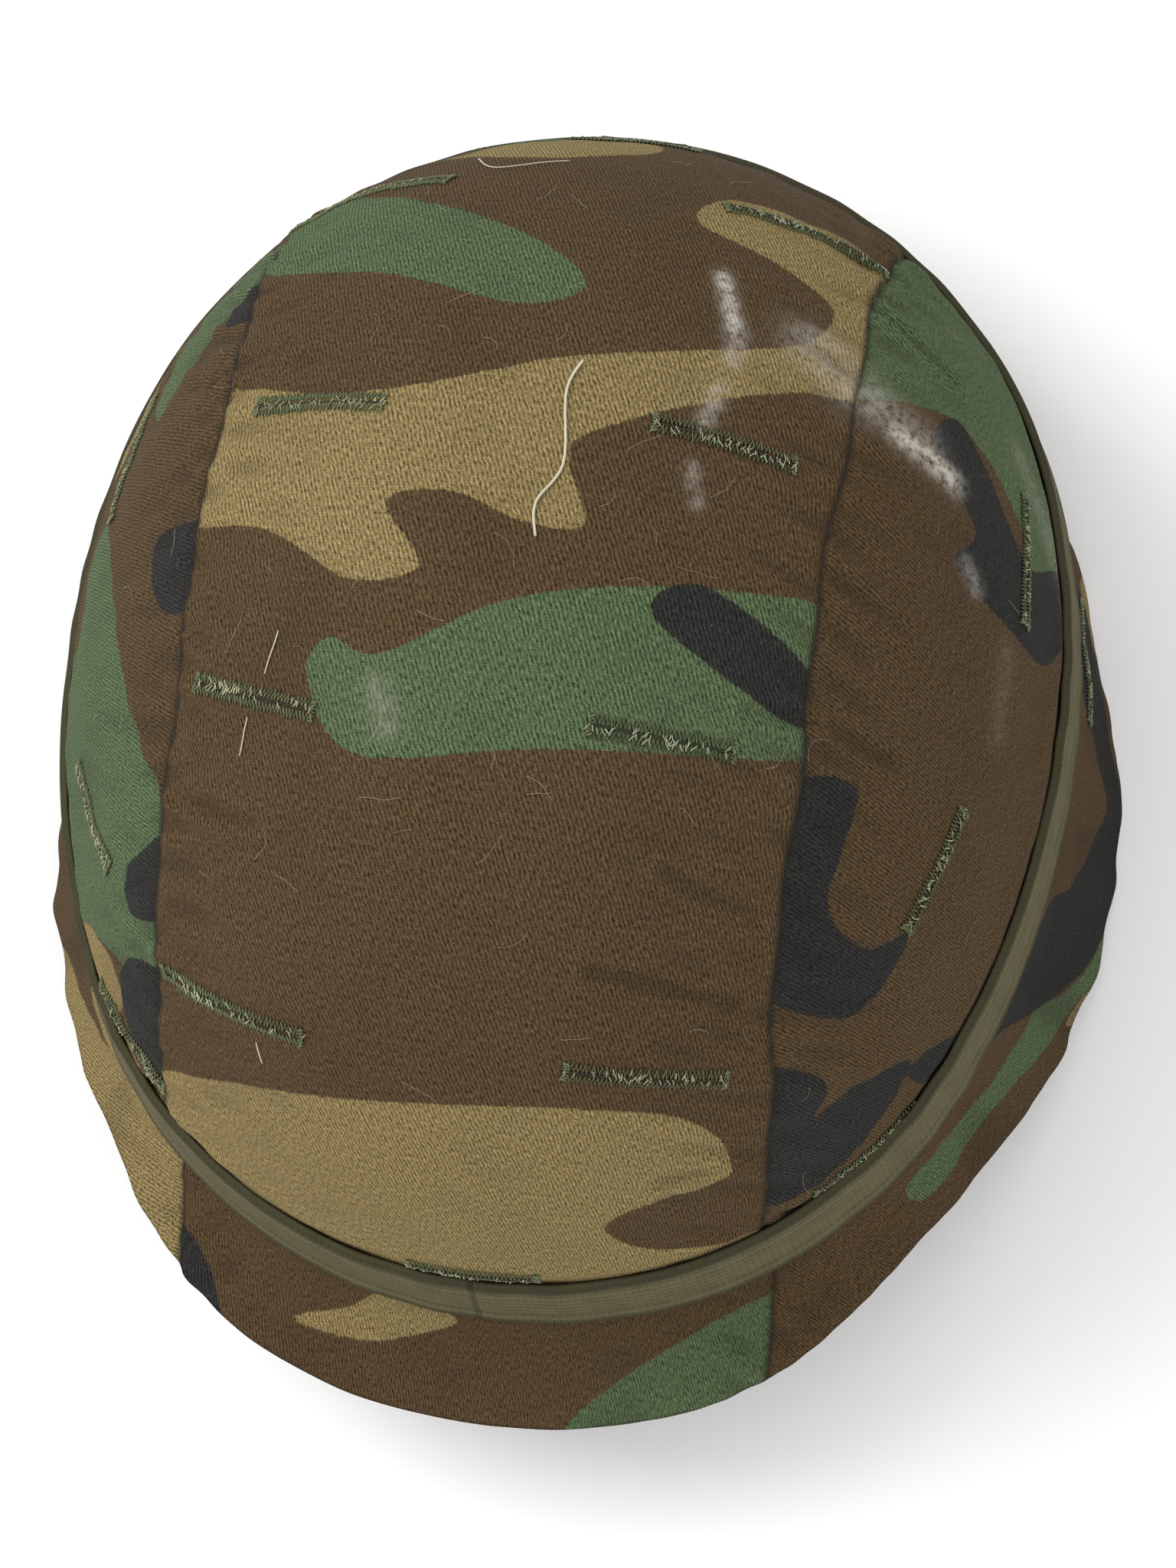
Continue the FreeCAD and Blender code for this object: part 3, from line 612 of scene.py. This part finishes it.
def add_piece(name, mesh, look, body="helmet"):
    material, slot_name = look
    mesh.polygons.foreach_set("use_smooth", [True] * len(mesh.polygons))
    mesh.materials.append(material)
    piece = bpy.data.objects.new(name, mesh)
    bpy.context.scene.collection.objects.link(piece)
    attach(piece, body)
    return piece


def new_piece(name, points, faces, look, body="helmet"):
    mesh = bpy.data.meshes.new(name)
    mesh.from_pydata([tuple(p) for p in points], [], faces)
    return add_piece(name, mesh, look, body)


def set_weave(piece, per_vertex):
    """UV map in metres from one (across, along) pair per vertex."""
    mesh = piece.data
    layer = mesh.uv_layers.new(name="weave")
    corner = np.zeros(len(mesh.loops), np.int32)
    mesh.loops.foreach_get("vertex_index", corner)
    layer.data.foreach_set("uv", np.asarray(per_vertex, np.float32)[corner].ravel())


def tube(points, radius, sides=5):
    """Vertices and faces of a thin closed tube along the points."""
    points = [Vector(p) for p in points]
    verts = []
    faces = []
    for i, point in enumerate(points):
        ahead = points[min(i + 1, len(points) - 1)] - points[max(i - 1, 0)]
        side = ahead.orthogonal().normalized() if i == 0 else (side - ahead * side.dot(ahead)
                                                               / ahead.length_squared).normalized()
        other = ahead.normalized().cross(side)
        for k in range(sides):
            turn = 2 * math.pi * k / sides
            verts.append(point + (side * math.cos(turn) + other * math.sin(turn)) * radius)
    for i in range(len(points) - 1):
        for k in range(sides):
            near, far = i * sides, (i + 1) * sides
            nxt = (k + 1) % sides
            faces.append([near + k, near + nxt, far + nxt, far + k])
    faces.append(list(range(sides - 1, -1, -1)))
    faces.append([(len(points) - 1) * sides + k for k in range(sides)])
    return verts, faces


def tubes_piece(name, lines, radius, look, sides=5):
    """Thin tubes along lines of places, without the places that missed the cloth."""
    verts = []
    faces = []
    for line in lines:
        line = [place for place in line if place is not None]
        if len(line) > 2:
            more, more_faces = tube(line, radius, sides)
            faces.extend([len(verts) + i for i in face] for face in more_faces)
            verts.extend(more)
    return new_piece(name, verts, faces, look)


# ---------------- the cover's three panels

def seam_gap(x):
    return np.minimum(np.abs(x - seam_left), np.abs(x - seam_right))


def seam_wander(place):
    """Sideways wander of the sewn seams along the dome, fading away from them."""
    run = math.atan2(place.z - RAY_CENTER.z, -place.y) * 0.13
    wander = 0.0010 * math.sin(run / 0.013) + 0.0006 * math.sin(run / 0.0057 + 1.0)
    off = place - dome_middle
    up = Vector((off.x / dome_half.x ** 2, off.y / dome_half.y ** 2,
                 max(off.z, 0.0) / dome_half.z ** 2)).normalized()
    sideways = Vector((1.0, 0.0, 0.0)) - up * up.x
    return sideways * wander * math.exp(-seam_gap(place.x) / 0.010)


def painted_shade_layer():
    """Painted shade: a dark line in each seam's fold, a shadow along the band's edges and darkening in
    the cloth's hollows.
    """
    level = np.abs(full_places[:, :, 2] - band_middle[:, None]) / MM
    # painted shade in the fold of each seam
    painted_shade = np.exp(-(seam_gap(full_places[:, :, 0]) / MM / 0.5) ** 2)
    # painted shadow on the cloth just beyond each edge of the band
    painted_shade += 0.7 * np.exp(-((level - 12.6) / 1.1) ** 2)
    # painted shade in the cloth's hollows, deeper where the relief dips
    painted_shade[:, :ROWS + 1] += np.clip(-relief / 1.8, 0, 0.35)
    return np.clip(painted_shade, 0, 1)


def cut_along_seams(shape, low_x, high_x):
    """Trim a panel at its seams, let the seams wander and drop what is left over."""
    for limit, inner in ((low_x, True), (high_x, False)):
        if limit is not None:
            everything = list(shape.verts) + list(shape.edges) + list(shape.faces)
            bmesh.ops.bisect_plane(shape, geom=everything, plane_co=(limit, 0, 0),
                                   plane_no=(1, 0, 0), clear_inner=inner, clear_outer=not inner)
    painted_shade = shape.verts.layers.float["painted_shade"]
    for vert in shape.verts:
        # the seams' own places get full painted shade
        if seam_gap(vert.co.x) < 0.00001:
            vert[painted_shade] = 1.0
        vert.co += seam_wander(vert.co)
    unused = [v for v in shape.verts if not v.link_faces]
    bmesh.ops.delete(shape, geom=unused, context="VERTS")
    bmesh.ops.remove_doubles(shape, verts=shape.verts, dist=2e-6)


def build_panel(panel, low_x, high_x, layers):
    """One panel of the cover between two seams, with a stored value per place for each layer."""
    layers = camo_layers(panel) | layers
    flat_names = ("flat_u", "flat_v") if panel == "center" else ("flat_v", "flat_u")
    layers |= dict(zip(flat_names, (full_across * MM, full_along * MM)))
    index = np.arange(COLUMNS * full_rows).reshape(COLUMNS, full_rows)
    nxt = np.roll(index, -1, axis=0)
    quads = np.stack([index[:, :-1], index[:, 1:], nxt[:, 1:], nxt[:, :-1]], -1).reshape(-1, 4)
    points = full_places.reshape(-1, 3)
    corner_x = points[quads][:, :, 0]
    margin = 0.004
    keep = np.ones(len(quads), bool)
    if low_x is not None:
        keep &= corner_x.max(1) > low_x - margin
    if high_x is not None:
        keep &= corner_x.min(1) < high_x + margin
    mesh = bpy.data.meshes.new("cover_" + panel)
    mesh.from_pydata(points.tolist(), [], quads[keep].tolist())
    for name, layer in layers.items():
        attribute = mesh.attributes.new(name, "FLOAT", "POINT")
        attribute.data.foreach_set("value", layer.ravel().astype(np.float32))
    shape = bmesh.new()
    shape.from_mesh(mesh)
    cut_along_seams(shape, low_x, high_x)
    shape.to_mesh(mesh)
    shape.free()
    flat = np.zeros((len(mesh.vertices), 2), np.float32)
    for column, name in enumerate(("flat_u", "flat_v")):
        mesh.attributes[name].data.foreach_get("value", flat[:, column])
    for name in ("flat_u", "flat_v"):
        mesh.attributes.remove(mesh.attributes[name])
    piece = add_piece("cover_" + panel, mesh, twill)
    set_weave(piece, flat)
    return piece


cover = {}
# real scuffs, and the painted shade of seams, band edges and hollows
layers = {"scuff": scuff_layer(), "painted_shade": painted_shade_layer()}
for panel, low_x, high_x in (("right", None, seam_right), ("center", seam_right, seam_left),
                             ("left", seam_left, None)):
    cover[panel] = build_panel(panel, low_x, high_x, layers)
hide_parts("cover_panel_center", "cover_hem", "cover_turnup")
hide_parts("cover_panel_left")
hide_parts("cover_panel_right")

panel_trees = [BVHTree.FromObject(piece, bpy.context.evaluated_depsgraph_get())
               for piece in cover.values()]


def on_cloth(place, inward, lift):
    """The nearest cloth point behind a place, raised by lift."""
    best = None
    for tree in panel_trees:
        hit, _, _, far = tree.ray_cast(place - inward * 0.02, inward, 0.06)
        if hit is not None and (best is None or far < best[1]):
            best = (hit, far)
    return None if best is None else best[0] - inward * lift


def place_on_chart(u, v, lift):
    """Cloth point at (across, along) MM from the crown."""
    azimuth = math.atan2(u, -v) % (2 * math.pi)
    column = int(round(azimuth / (2 * math.pi) * COLUMNS)) % COLUMNS
    row = np.interp(math.hypot(u, v) * MM, reaches[column], np.arange(ROWS + 1))
    low = int(min(row, ROWS - 1))
    share = row - low
    place = full_places[column, low] * (1 - share) + full_places[column, low + 1] * share
    normal = normals[column, low]
    turn = azimuth - azimuths[column]
    spin = Matrix.Rotation(turn, 3, "Z")
    return spin @ (Vector(place) + Vector(normal) * lift)


# ---------------- foliage slits

def slit_frame(points):
    spread = np.linalg.svd(points - points.mean(0), full_matrices=False)[2]
    shares = (points - points.mean(0)) @ spread.T
    middle = Vector(points.mean(0) + (shares.min(0) + shares.max(0)) / 2 @ spread)
    lengthwise = Vector(spread[0])
    widthwise = Vector(spread[1])
    inward = lengthwise.cross(widthwise).normalized()
    if inward.dot(RAY_CENTER - middle) < 0:
        inward = -inward
    half = float(shares[:, 0].max() - shares[:, 0].min()) / 2
    return middle, lengthwise, widthwise, inward, half


def sewn_askew(middle, lengthwise, widthwise, inward):
    """A slit's middle and directions, shifted and turned a little where it is sewn unevenly."""
    for x, y, across, along, turn in SLIT_MOVES:
        if math.hypot(middle.x / MM - x, middle.y / MM - y) < 8:
            spin = Matrix.Rotation(math.radians(turn), 3, -inward)
            return (middle + Vector((across, along, 0.0)) * MM, spin @ lengthwise,
                    spin @ widthwise)
    return middle, lengthwise, widthwise


def build_slits(panel):
    """Zigzag edging, a dark thread painted as the shade in the opening, and frayed threads of every
    slit on a panel.
    """
    node = "slit_stitching_" + panel
    stitch = 0.00042
    opening = 0.0005
    edging_width = 0.0021
    edges = []
    opening_shade_lines = []
    fringe = []
    for group in islands(node):
        middle, lengthwise, widthwise, inward, half = slit_frame(group)
        middle, lengthwise, widthwise = sewn_askew(middle, lengthwise, widthwise, inward)

        def spot(run, side, lift):
            place = middle + lengthwise * run + widthwise * side
            return on_cloth(place, inward, lift)

        for side in (-1, 1):
            count = int(half * 2 / stitch)
            line = []
            for step in range(count):
                run = -half + 2 * half * step / count
                reach = opening if step % 2 else edging_width + random.uniform(-0.0003, 0.0003)
                lift = 0.00050 if step % 2 else 0.00012
                line.append(spot(run, side * reach, lift + random.uniform(0, 0.00010)))
            edges.append(line)
        for end in (-1, 1):
            line = []
            for step in range(12):
                run = end * (half - (0.0002 if step % 2 else 0.0012))
                line.append(spot(run, -0.0020 + 0.0040 * step / 11, 0.00045))
            edges.append(line)
        # painted shade in the opening: a dark thread down the slit's middle
        opening_shade_lines.append([spot(half * (step / 23 - 1), random.uniform(-0.0002, 0.0002), 0.0002)
                      for step in range(46)])
        frayed = random.uniform(-0.6, 0.6) * half
        for _ in range(40):
            run = random.uniform(-half, half) if random.random() < 0.6 else random.gauss(frayed, 0.003)
            run = max(min(run, half), -half)
            start = random.uniform(-0.0012, 0.0008)
            lean = random.uniform(-0.0004, 0.0004)
            fringe.append([spot(run + k * lean, start + k * 0.0004,
                                random.uniform(0.0005, 0.0009)) for k in range(4)])
    edging = tubes_piece("slit_edging_" + panel, edges, 0.00024, green_thread)
    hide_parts(node)
    # the slits' painted shade, as dark tubes on the uncut cloth
    tubes_piece("slit_gap_shade_" + panel, opening_shade_lines, 0.00026, opening_shade_thread, 4)
    tubes_piece("slit_fringe_" + panel, fringe, 0.00011, fray_thread, 3)


for panel in ("center", "left", "right"):
    build_slits(panel)


# ---------------- loose threads, lint

loose = [[place_on_chart(u, v, 0.0005) for u, v in curve_through(points, 8)]
         for points in LOOSE_THREADS]
tubes_piece("loose_thread_long", loose[:1], 0.00028, pale_thread)
tubes_piece("loose_threads", loose[1:], 0.00014, pale_thread, 4)


def lint_line():
    """A short curling hair somewhere on the cloth."""
    turn = random.uniform(0, 2 * math.pi)
    reach = random.uniform(15, 190)
    u, v = reach * math.sin(turn), -reach * math.cos(turn)
    heading = random.uniform(0, 2 * math.pi)
    curl = random.uniform(-0.16, 0.16)
    line = []
    for _ in range(random.randint(5, 12)):
        line.append(place_on_chart(u, v, random.uniform(0.00025, 0.0006)))
        u += 0.8 * math.cos(heading)
        v += 0.8 * math.sin(heading)
        heading += curl + random.uniform(-0.25, 0.25)
    return line


tubes_piece("surface_lint", [lint_line() for _ in range(110)], 0.00004, lint_thread, 3)


# ---------------- ring and strip pieces from nodes

def rounded_edge(start, end, towards, steps=4):
    towards = towards.normalized() * (start - end).length * 0.42
    return [start.lerp(end, k / steps) + towards * math.sin(math.pi * k / steps)
            for k in range(1, steps)]


def rounded_loop(outer, inner):
    """Closed cross-section: outer face, rounded edge, inner face, rounded edge."""
    return (outer + rounded_edge(outer[-1], inner[-1], outer[-1] - outer[-2]) + inner[::-1]
            + rounded_edge(inner[0], outer[0], outer[0] - outer[1]))


def lofted_piece(name, node, loops, closed, look, body="helmet", lengths=None):
    """Skin over cross-sections, in a CAD node's place, with a weave that follows it."""
    size = len(loops[0])
    faces = []
    for i in range(len(loops) if closed else len(loops) - 1):
        near, far = i * size, ((i + 1) % len(loops)) * size
        for k in range(size):
            nxt = (k + 1) % size
            faces.append([near + k, far + k, far + nxt, near + nxt])
    if not closed:
        faces.append(list(range(size)))
        faces.append([(len(loops) - 1) * size + k for k in range(size - 1, -1, -1)])
    piece = new_piece(name, [p for loop in loops for p in loop], faces, look, body)
    if lengths is None:
        steps = [(b[0] - a[0]).length for a, b in zip(loops, loops[1:])]
        lengths = np.cumsum([0.0] + steps)
    flat = []
    for run, loop in zip(lengths, loops):
        girth = 0.0
        for k in range(size):
            flat.append((run, girth))
            girth += (loop[(k + 1) % size] - loop[k]).length
    set_weave(piece, flat)
    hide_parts(node)
    return piece


def skin_pair(tree, base, direction):
    """Outer and inner skin places along one direction, or None where there is no skin."""
    far = tree.ray_cast(base + direction * 0.3, -direction, 0.3)[0]
    near = tree.ray_cast(base, direction, 0.3)[0]
    return None if far is None or near is None else (far, near)


def band_ribs(share):
    """Thicker woven edges with a groove inside each."""
    edge = min(share, 1 - share)
    rolled = 0.0006 * math.exp(-((edge - 0.06) / 0.06) ** 2)
    groove = 0.0004 * math.exp(-((edge - 0.20) / 0.05) ** 2)
    return rolled - groove - BAND_HUG


def wall_ring(node, name, look, low, high, rise=0.0, body="helmet", columns=360, steps=9,
              wobble=0.0, ribs_at=lambda share: 0.0):
    """Ring piece that follows a CAD ring between two levels; rise lifts the front of both.

    Over a screw's hole it goes on from the places below, so the cloth is drawn across."""
    tree = node_tree([node])
    above = Vector((0.0, 0.0, 0.0001))
    loops = []
    for column in range(columns):
        azimuth = 2 * math.pi * column / columns
        direction = ray_direction(azimuth, 0.0)
        ripple = direction * wobble * math.sin(azimuth * 31 + 4 * math.sin(azimuth * 7))
        outer = []
        inner = []
        for step in range(steps):
            share = (step + 0.15) / (steps - 0.7)
            z = low + rise * math.cos(azimuth) + (high - low) * share
            base = Vector((0.0, 0.0, z))
            pair = skin_pair(tree, base, direction)
            if pair is None and outer:
                pair = outer[-1] + above, inner[-1] + above
            elif pair is None:
                pair = base + direction * 0.1, base + direction * 0.099
            outer.append(pair[0] + ripple + direction * ribs_at(share))
            inner.append(pair[1] + ripple + direction * min(ribs_at(0.5), 0.0))
        loops.append(rounded_loop(outer, inner))
    return lofted_piece(name, node, loops, True, look, body)


helmet_band = wall_ring("helmet_band", "helmet_band_elastic", band_cloth, band_center - 0.0121,
                        band_center + 0.0121, band_rise, "band", columns=540, steps=25,
                        wobble=0.00012, ribs_at=band_ribs)

for node, name, look, wobble in (
        ("suspension_band", "suspension_band_web", webbing, 0.0002),
        ("headband", "headband_web", webbing, 0.0003),
        ("headband_lining", "headband_leather", leather, 0.0003)):
    low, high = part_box(node)
    wall_ring(node, name, look, low.z + EDGE_INSET, high.z - EDGE_INSET, wobble=wobble)


def strip_reach(tree, base, side, direction):
    """How far the strip goes to one side."""
    low = 0.0
    high = 0.03
    for _ in range(14):
        middle = (low + high) / 2
        if skin_pair(tree, base + side * middle, direction) is None:
            high = middle
        else:
            low = middle
    return low * 0.985


def strip_piece(node, name, look, rows_count=40, body="helmet", steps=7, hug=0.0):
    """Strip that runs up the dome, rebuilt from a CAD strip with rounded edges."""
    tree = node_tree([node])
    mesh = frame["nodes"][node].data
    points = np.array([v.co[:] for v in mesh.vertices])
    lifts = np.arctan2(points[:, 2] - RAY_CENTER.z, np.hypot(points[:, 0], points[:, 1]))
    middle = sum((p.center * p.area for p in mesh.polygons), Vector())
    turn = math.atan2(middle.x, -middle.y)
    side = Vector((math.cos(turn), math.sin(turn), 0.0))
    loops = []
    for row in range(rows_count):
        share = 0.01 + 0.98 * row / (rows_count - 1)
        direction = ray_direction(turn, lifts.min() + (lifts.max() - lifts.min()) * share)
        if skin_pair(tree, RAY_CENTER, direction) is None:
            continue
        ahead = strip_reach(tree, RAY_CENTER, side, direction)
        behind = strip_reach(tree, RAY_CENTER, -side, direction)
        shifts = [-behind + (ahead + behind) * step / (steps - 1) for step in range(steps)]
        pairs = [skin_pair(tree, RAY_CENTER + side * shift, direction) for shift in shifts]
        if None in pairs:
            continue
        loops.append(rounded_loop([pair[0] - direction * hug * 1.3 for pair in pairs],
                                  [pair[1] - direction * hug for pair in pairs]))
    lofted_piece(name, node, loops, False, look, body)


for number in range(1, 7):
    strip_piece("crown_web_%d" % number, "crown_webbing_%d" % number, webbing)
for place in ("front", "front_left", "front_right", "rear", "rear_left", "rear_right"):
    strip_piece("cover_tab_" + place, "cover_tab_pile_" + place, pile_cloth, 24)
strip_piece("helmet_band_join", "helmet_band_lap", band_cloth, 24, "band", hug=BAND_HUG + 0.0005)


def build_crown_lace():
    """Cord laid in waves round the crown ring."""
    low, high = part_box("crown_lace")
    radius = (high.z - low.z) / 2
    ring = (high.x - low.x) / 2 - radius
    columns = 240
    sides = 10
    loops = []
    lengths = []
    for column in range(columns):
        azimuth = 2 * math.pi * column / columns
        direction = ray_direction(azimuth, 0.0)
        core = (low + high) / 2 + direction * ring
        thickness = radius * (0.9 + 0.08 * math.sin(azimuth * 90))
        turns = [2 * math.pi * k / sides for k in range(sides)]
        loops.append([core + (direction * math.cos(turn) + Vector((0, 0, 1)) * math.sin(turn))
                      * thickness for turn in turns])
        lengths.append(azimuth * ring)
    lofted_piece("crown_lace_cord", "crown_lace", loops, True, (webbing[0], "lace_cord"),
                 lengths=lengths)


build_crown_lace()


# ---------------- chinstrap

swing = next(j for j in frame["joints"] if j["name"] == "chinstrap_swing")
slide = next(j for j in frame["joints"] if j["name"] == "buckle_left_slide")
pivot = Vector(swing["pos_m"])
droop = math.atan2(-slide["axis"][2], slide["axis"][1])
level_up = Matrix.Translation(pivot) @ Matrix.Rotation(droop, 4, "X") @ Matrix.Translation(-pivot)
lay_down = level_up.inverted()


def levelled_tree(node):
    mesh = frame["nodes"][node].data
    points = [level_up @ v.co for v in mesh.vertices]
    tree = BVHTree.FromPolygons(points, [list(p.vertices) for p in mesh.polygons])
    return tree, points


def strap_piece(node, name, look, steps=9):
    """Standing strap of the chinstrap, rebuilt with rounded edges in the strap's own plane."""
    tree, points = levelled_tree(node)
    low_z = min(p.z for p in points) + EDGE_INSET
    high_z = max(p.z for p in points) - EDGE_INSET
    leg = [p for p in points if p.y < STRAP_BEND_Y]
    stations = []
    if leg:
        side = math.copysign(1, leg[0].x)
        start_y = min(p.y for p in leg) + 0.0005
        for step in range(24):
            stations.append((Vector((0, start_y + (STRAP_BEND_Y - start_y) * step / 24, 0)),
                             Vector((side, 0, 0))))
    angles = sorted(math.atan2(p.y - STRAP_BEND_Y, p.x) for p in points
                    if p.y > STRAP_BEND_Y + 0.0002)
    first, last = angles[0], angles[-1]
    if leg and side < 0:
        first, last = last, first
    for step in range(60):
        turn = first + (last - first) * (0.004 + 0.992 * step / 59)
        stations.append((Vector((0, STRAP_BEND_Y, 0)),
                         Vector((math.cos(turn), math.sin(turn), 0))))
    loops = []
    for origin, direction in stations:
        levels = [low_z + (high_z - low_z) * step / (steps - 1) for step in range(steps)]
        pairs = [skin_pair(tree, Vector((origin.x, origin.y, z)), direction) for z in levels]
        if None not in pairs:
            loops.append(rounded_loop([lay_down @ pair[0] for pair in pairs],
                                      [lay_down @ pair[1] for pair in pairs]))
    return lofted_piece(name, node, loops, False, look, "chinstrap")


for side_name in ("left", "right"):
    strap_piece("chinstrap_web_" + side_name, "chinstrap_webbing_" + side_name, webbing)
chin_pad = strap_piece("chin_cup", "chin_cup_pad", (webbing[0], "chin_cup_webbing"))


# ---------------- materials on the hard CAD nodes

HARD = {"shell": shell_paint, "rim_edging": edging_rubber, "suspension_nuts": black_steel,
        "snap_cap": snap_brass, "snap_stud": snap_brass}
for number in range(1, 7):
    HARD["suspension_screw_%d" % number] = black_steel
    HARD["suspension_post_%d" % number] = black_steel
    HARD["headband_clip_%d" % number] = clip_metal
for side_name in ("left", "right"):
    HARD["chinstrap_bracket_" + side_name] = black_steel
    HARD["chinstrap_loop_" + side_name] = black_steel
    HARD["adjuster_buckle_" + side_name] = black_steel
for name, material in HARD.items():
    mesh = frame["nodes"][name].data
    mesh.materials.clear()
    mesh.materials.append(material)


# ---------------- floor, light, camera

def build_stage():
    floor_mesh = bpy.data.meshes.new("floor")
    floor_mesh.from_pydata([(-6, -6, 0), (6, -6, 0), (6, 6, 0), (-6, 6, 0)], [], [[0, 1, 2, 3]])
    floor = bpy.data.objects.new("floor", floor_mesh)
    bpy.context.scene.collection.objects.link(floor)
    floor_mesh.materials.append(Surface("floor_white", (0.90, 0.90, 0.90)).material)
    world = bpy.data.worlds.new("studio")
    bpy.context.scene.world = world
    world.use_nodes = True
    world.node_tree.nodes["Background"].inputs[0].default_value = (1.0, 1.0, 1.0, 1.0)
    world.node_tree.nodes["Background"].inputs[1].default_value = 0.94
    for name, place, size, power in (("key", (-1.3, 0.3, 1.5), 1.1, 24.0),
                                     ("fill", (0.9, -1.3, 1.3), 1.6, 8.5)):
        light = bpy.data.lights.new(name, "AREA")
        light.size = size
        light.energy = power
        lamp = bpy.data.objects.new(name, light)
        lamp.location = place
        aim = Vector((0, 0, 0.08)) - Vector(place)
        lamp.rotation_euler = aim.to_track_quat("-Z", "Y").to_euler()
        bpy.context.scene.collection.objects.link(lamp)


def build_camera():
    """Camera above the front left, leaning a little; it looks at a place inside the dome."""
    azimuth = math.radians(32.3)
    lean = math.radians(12.9)
    roll = math.radians(8.1)
    distance = 1.353
    target = Vector((0.0099, -0.0132, 0.090))
    back = Vector((math.sin(azimuth) * math.sin(lean), -math.cos(azimuth) * math.sin(lean),
                   math.cos(lean)))
    right = (-back).cross(Vector((0, 1, 0))).normalized()
    up = right.cross(-back)
    right_rolled = right * math.cos(roll) + up * math.sin(roll)
    up_rolled = up * math.cos(roll) - right * math.sin(roll)
    turn = Matrix((right_rolled, up_rolled, back)).transposed()
    data = bpy.data.cameras.new("camera")
    data.sensor_fit = "HORIZONTAL"
    data.sensor_width = 36.0
    data.lens = 203.7
    camera = bpy.data.objects.new("camera", data)
    camera.matrix_world = Matrix.Translation(target + back * distance) @ turn.to_4x4()
    bpy.context.scene.collection.objects.link(camera)
    bpy.context.scene.camera = camera


build_stage()
build_camera()
bpy.context.scene.view_settings.view_transform = "Standard"
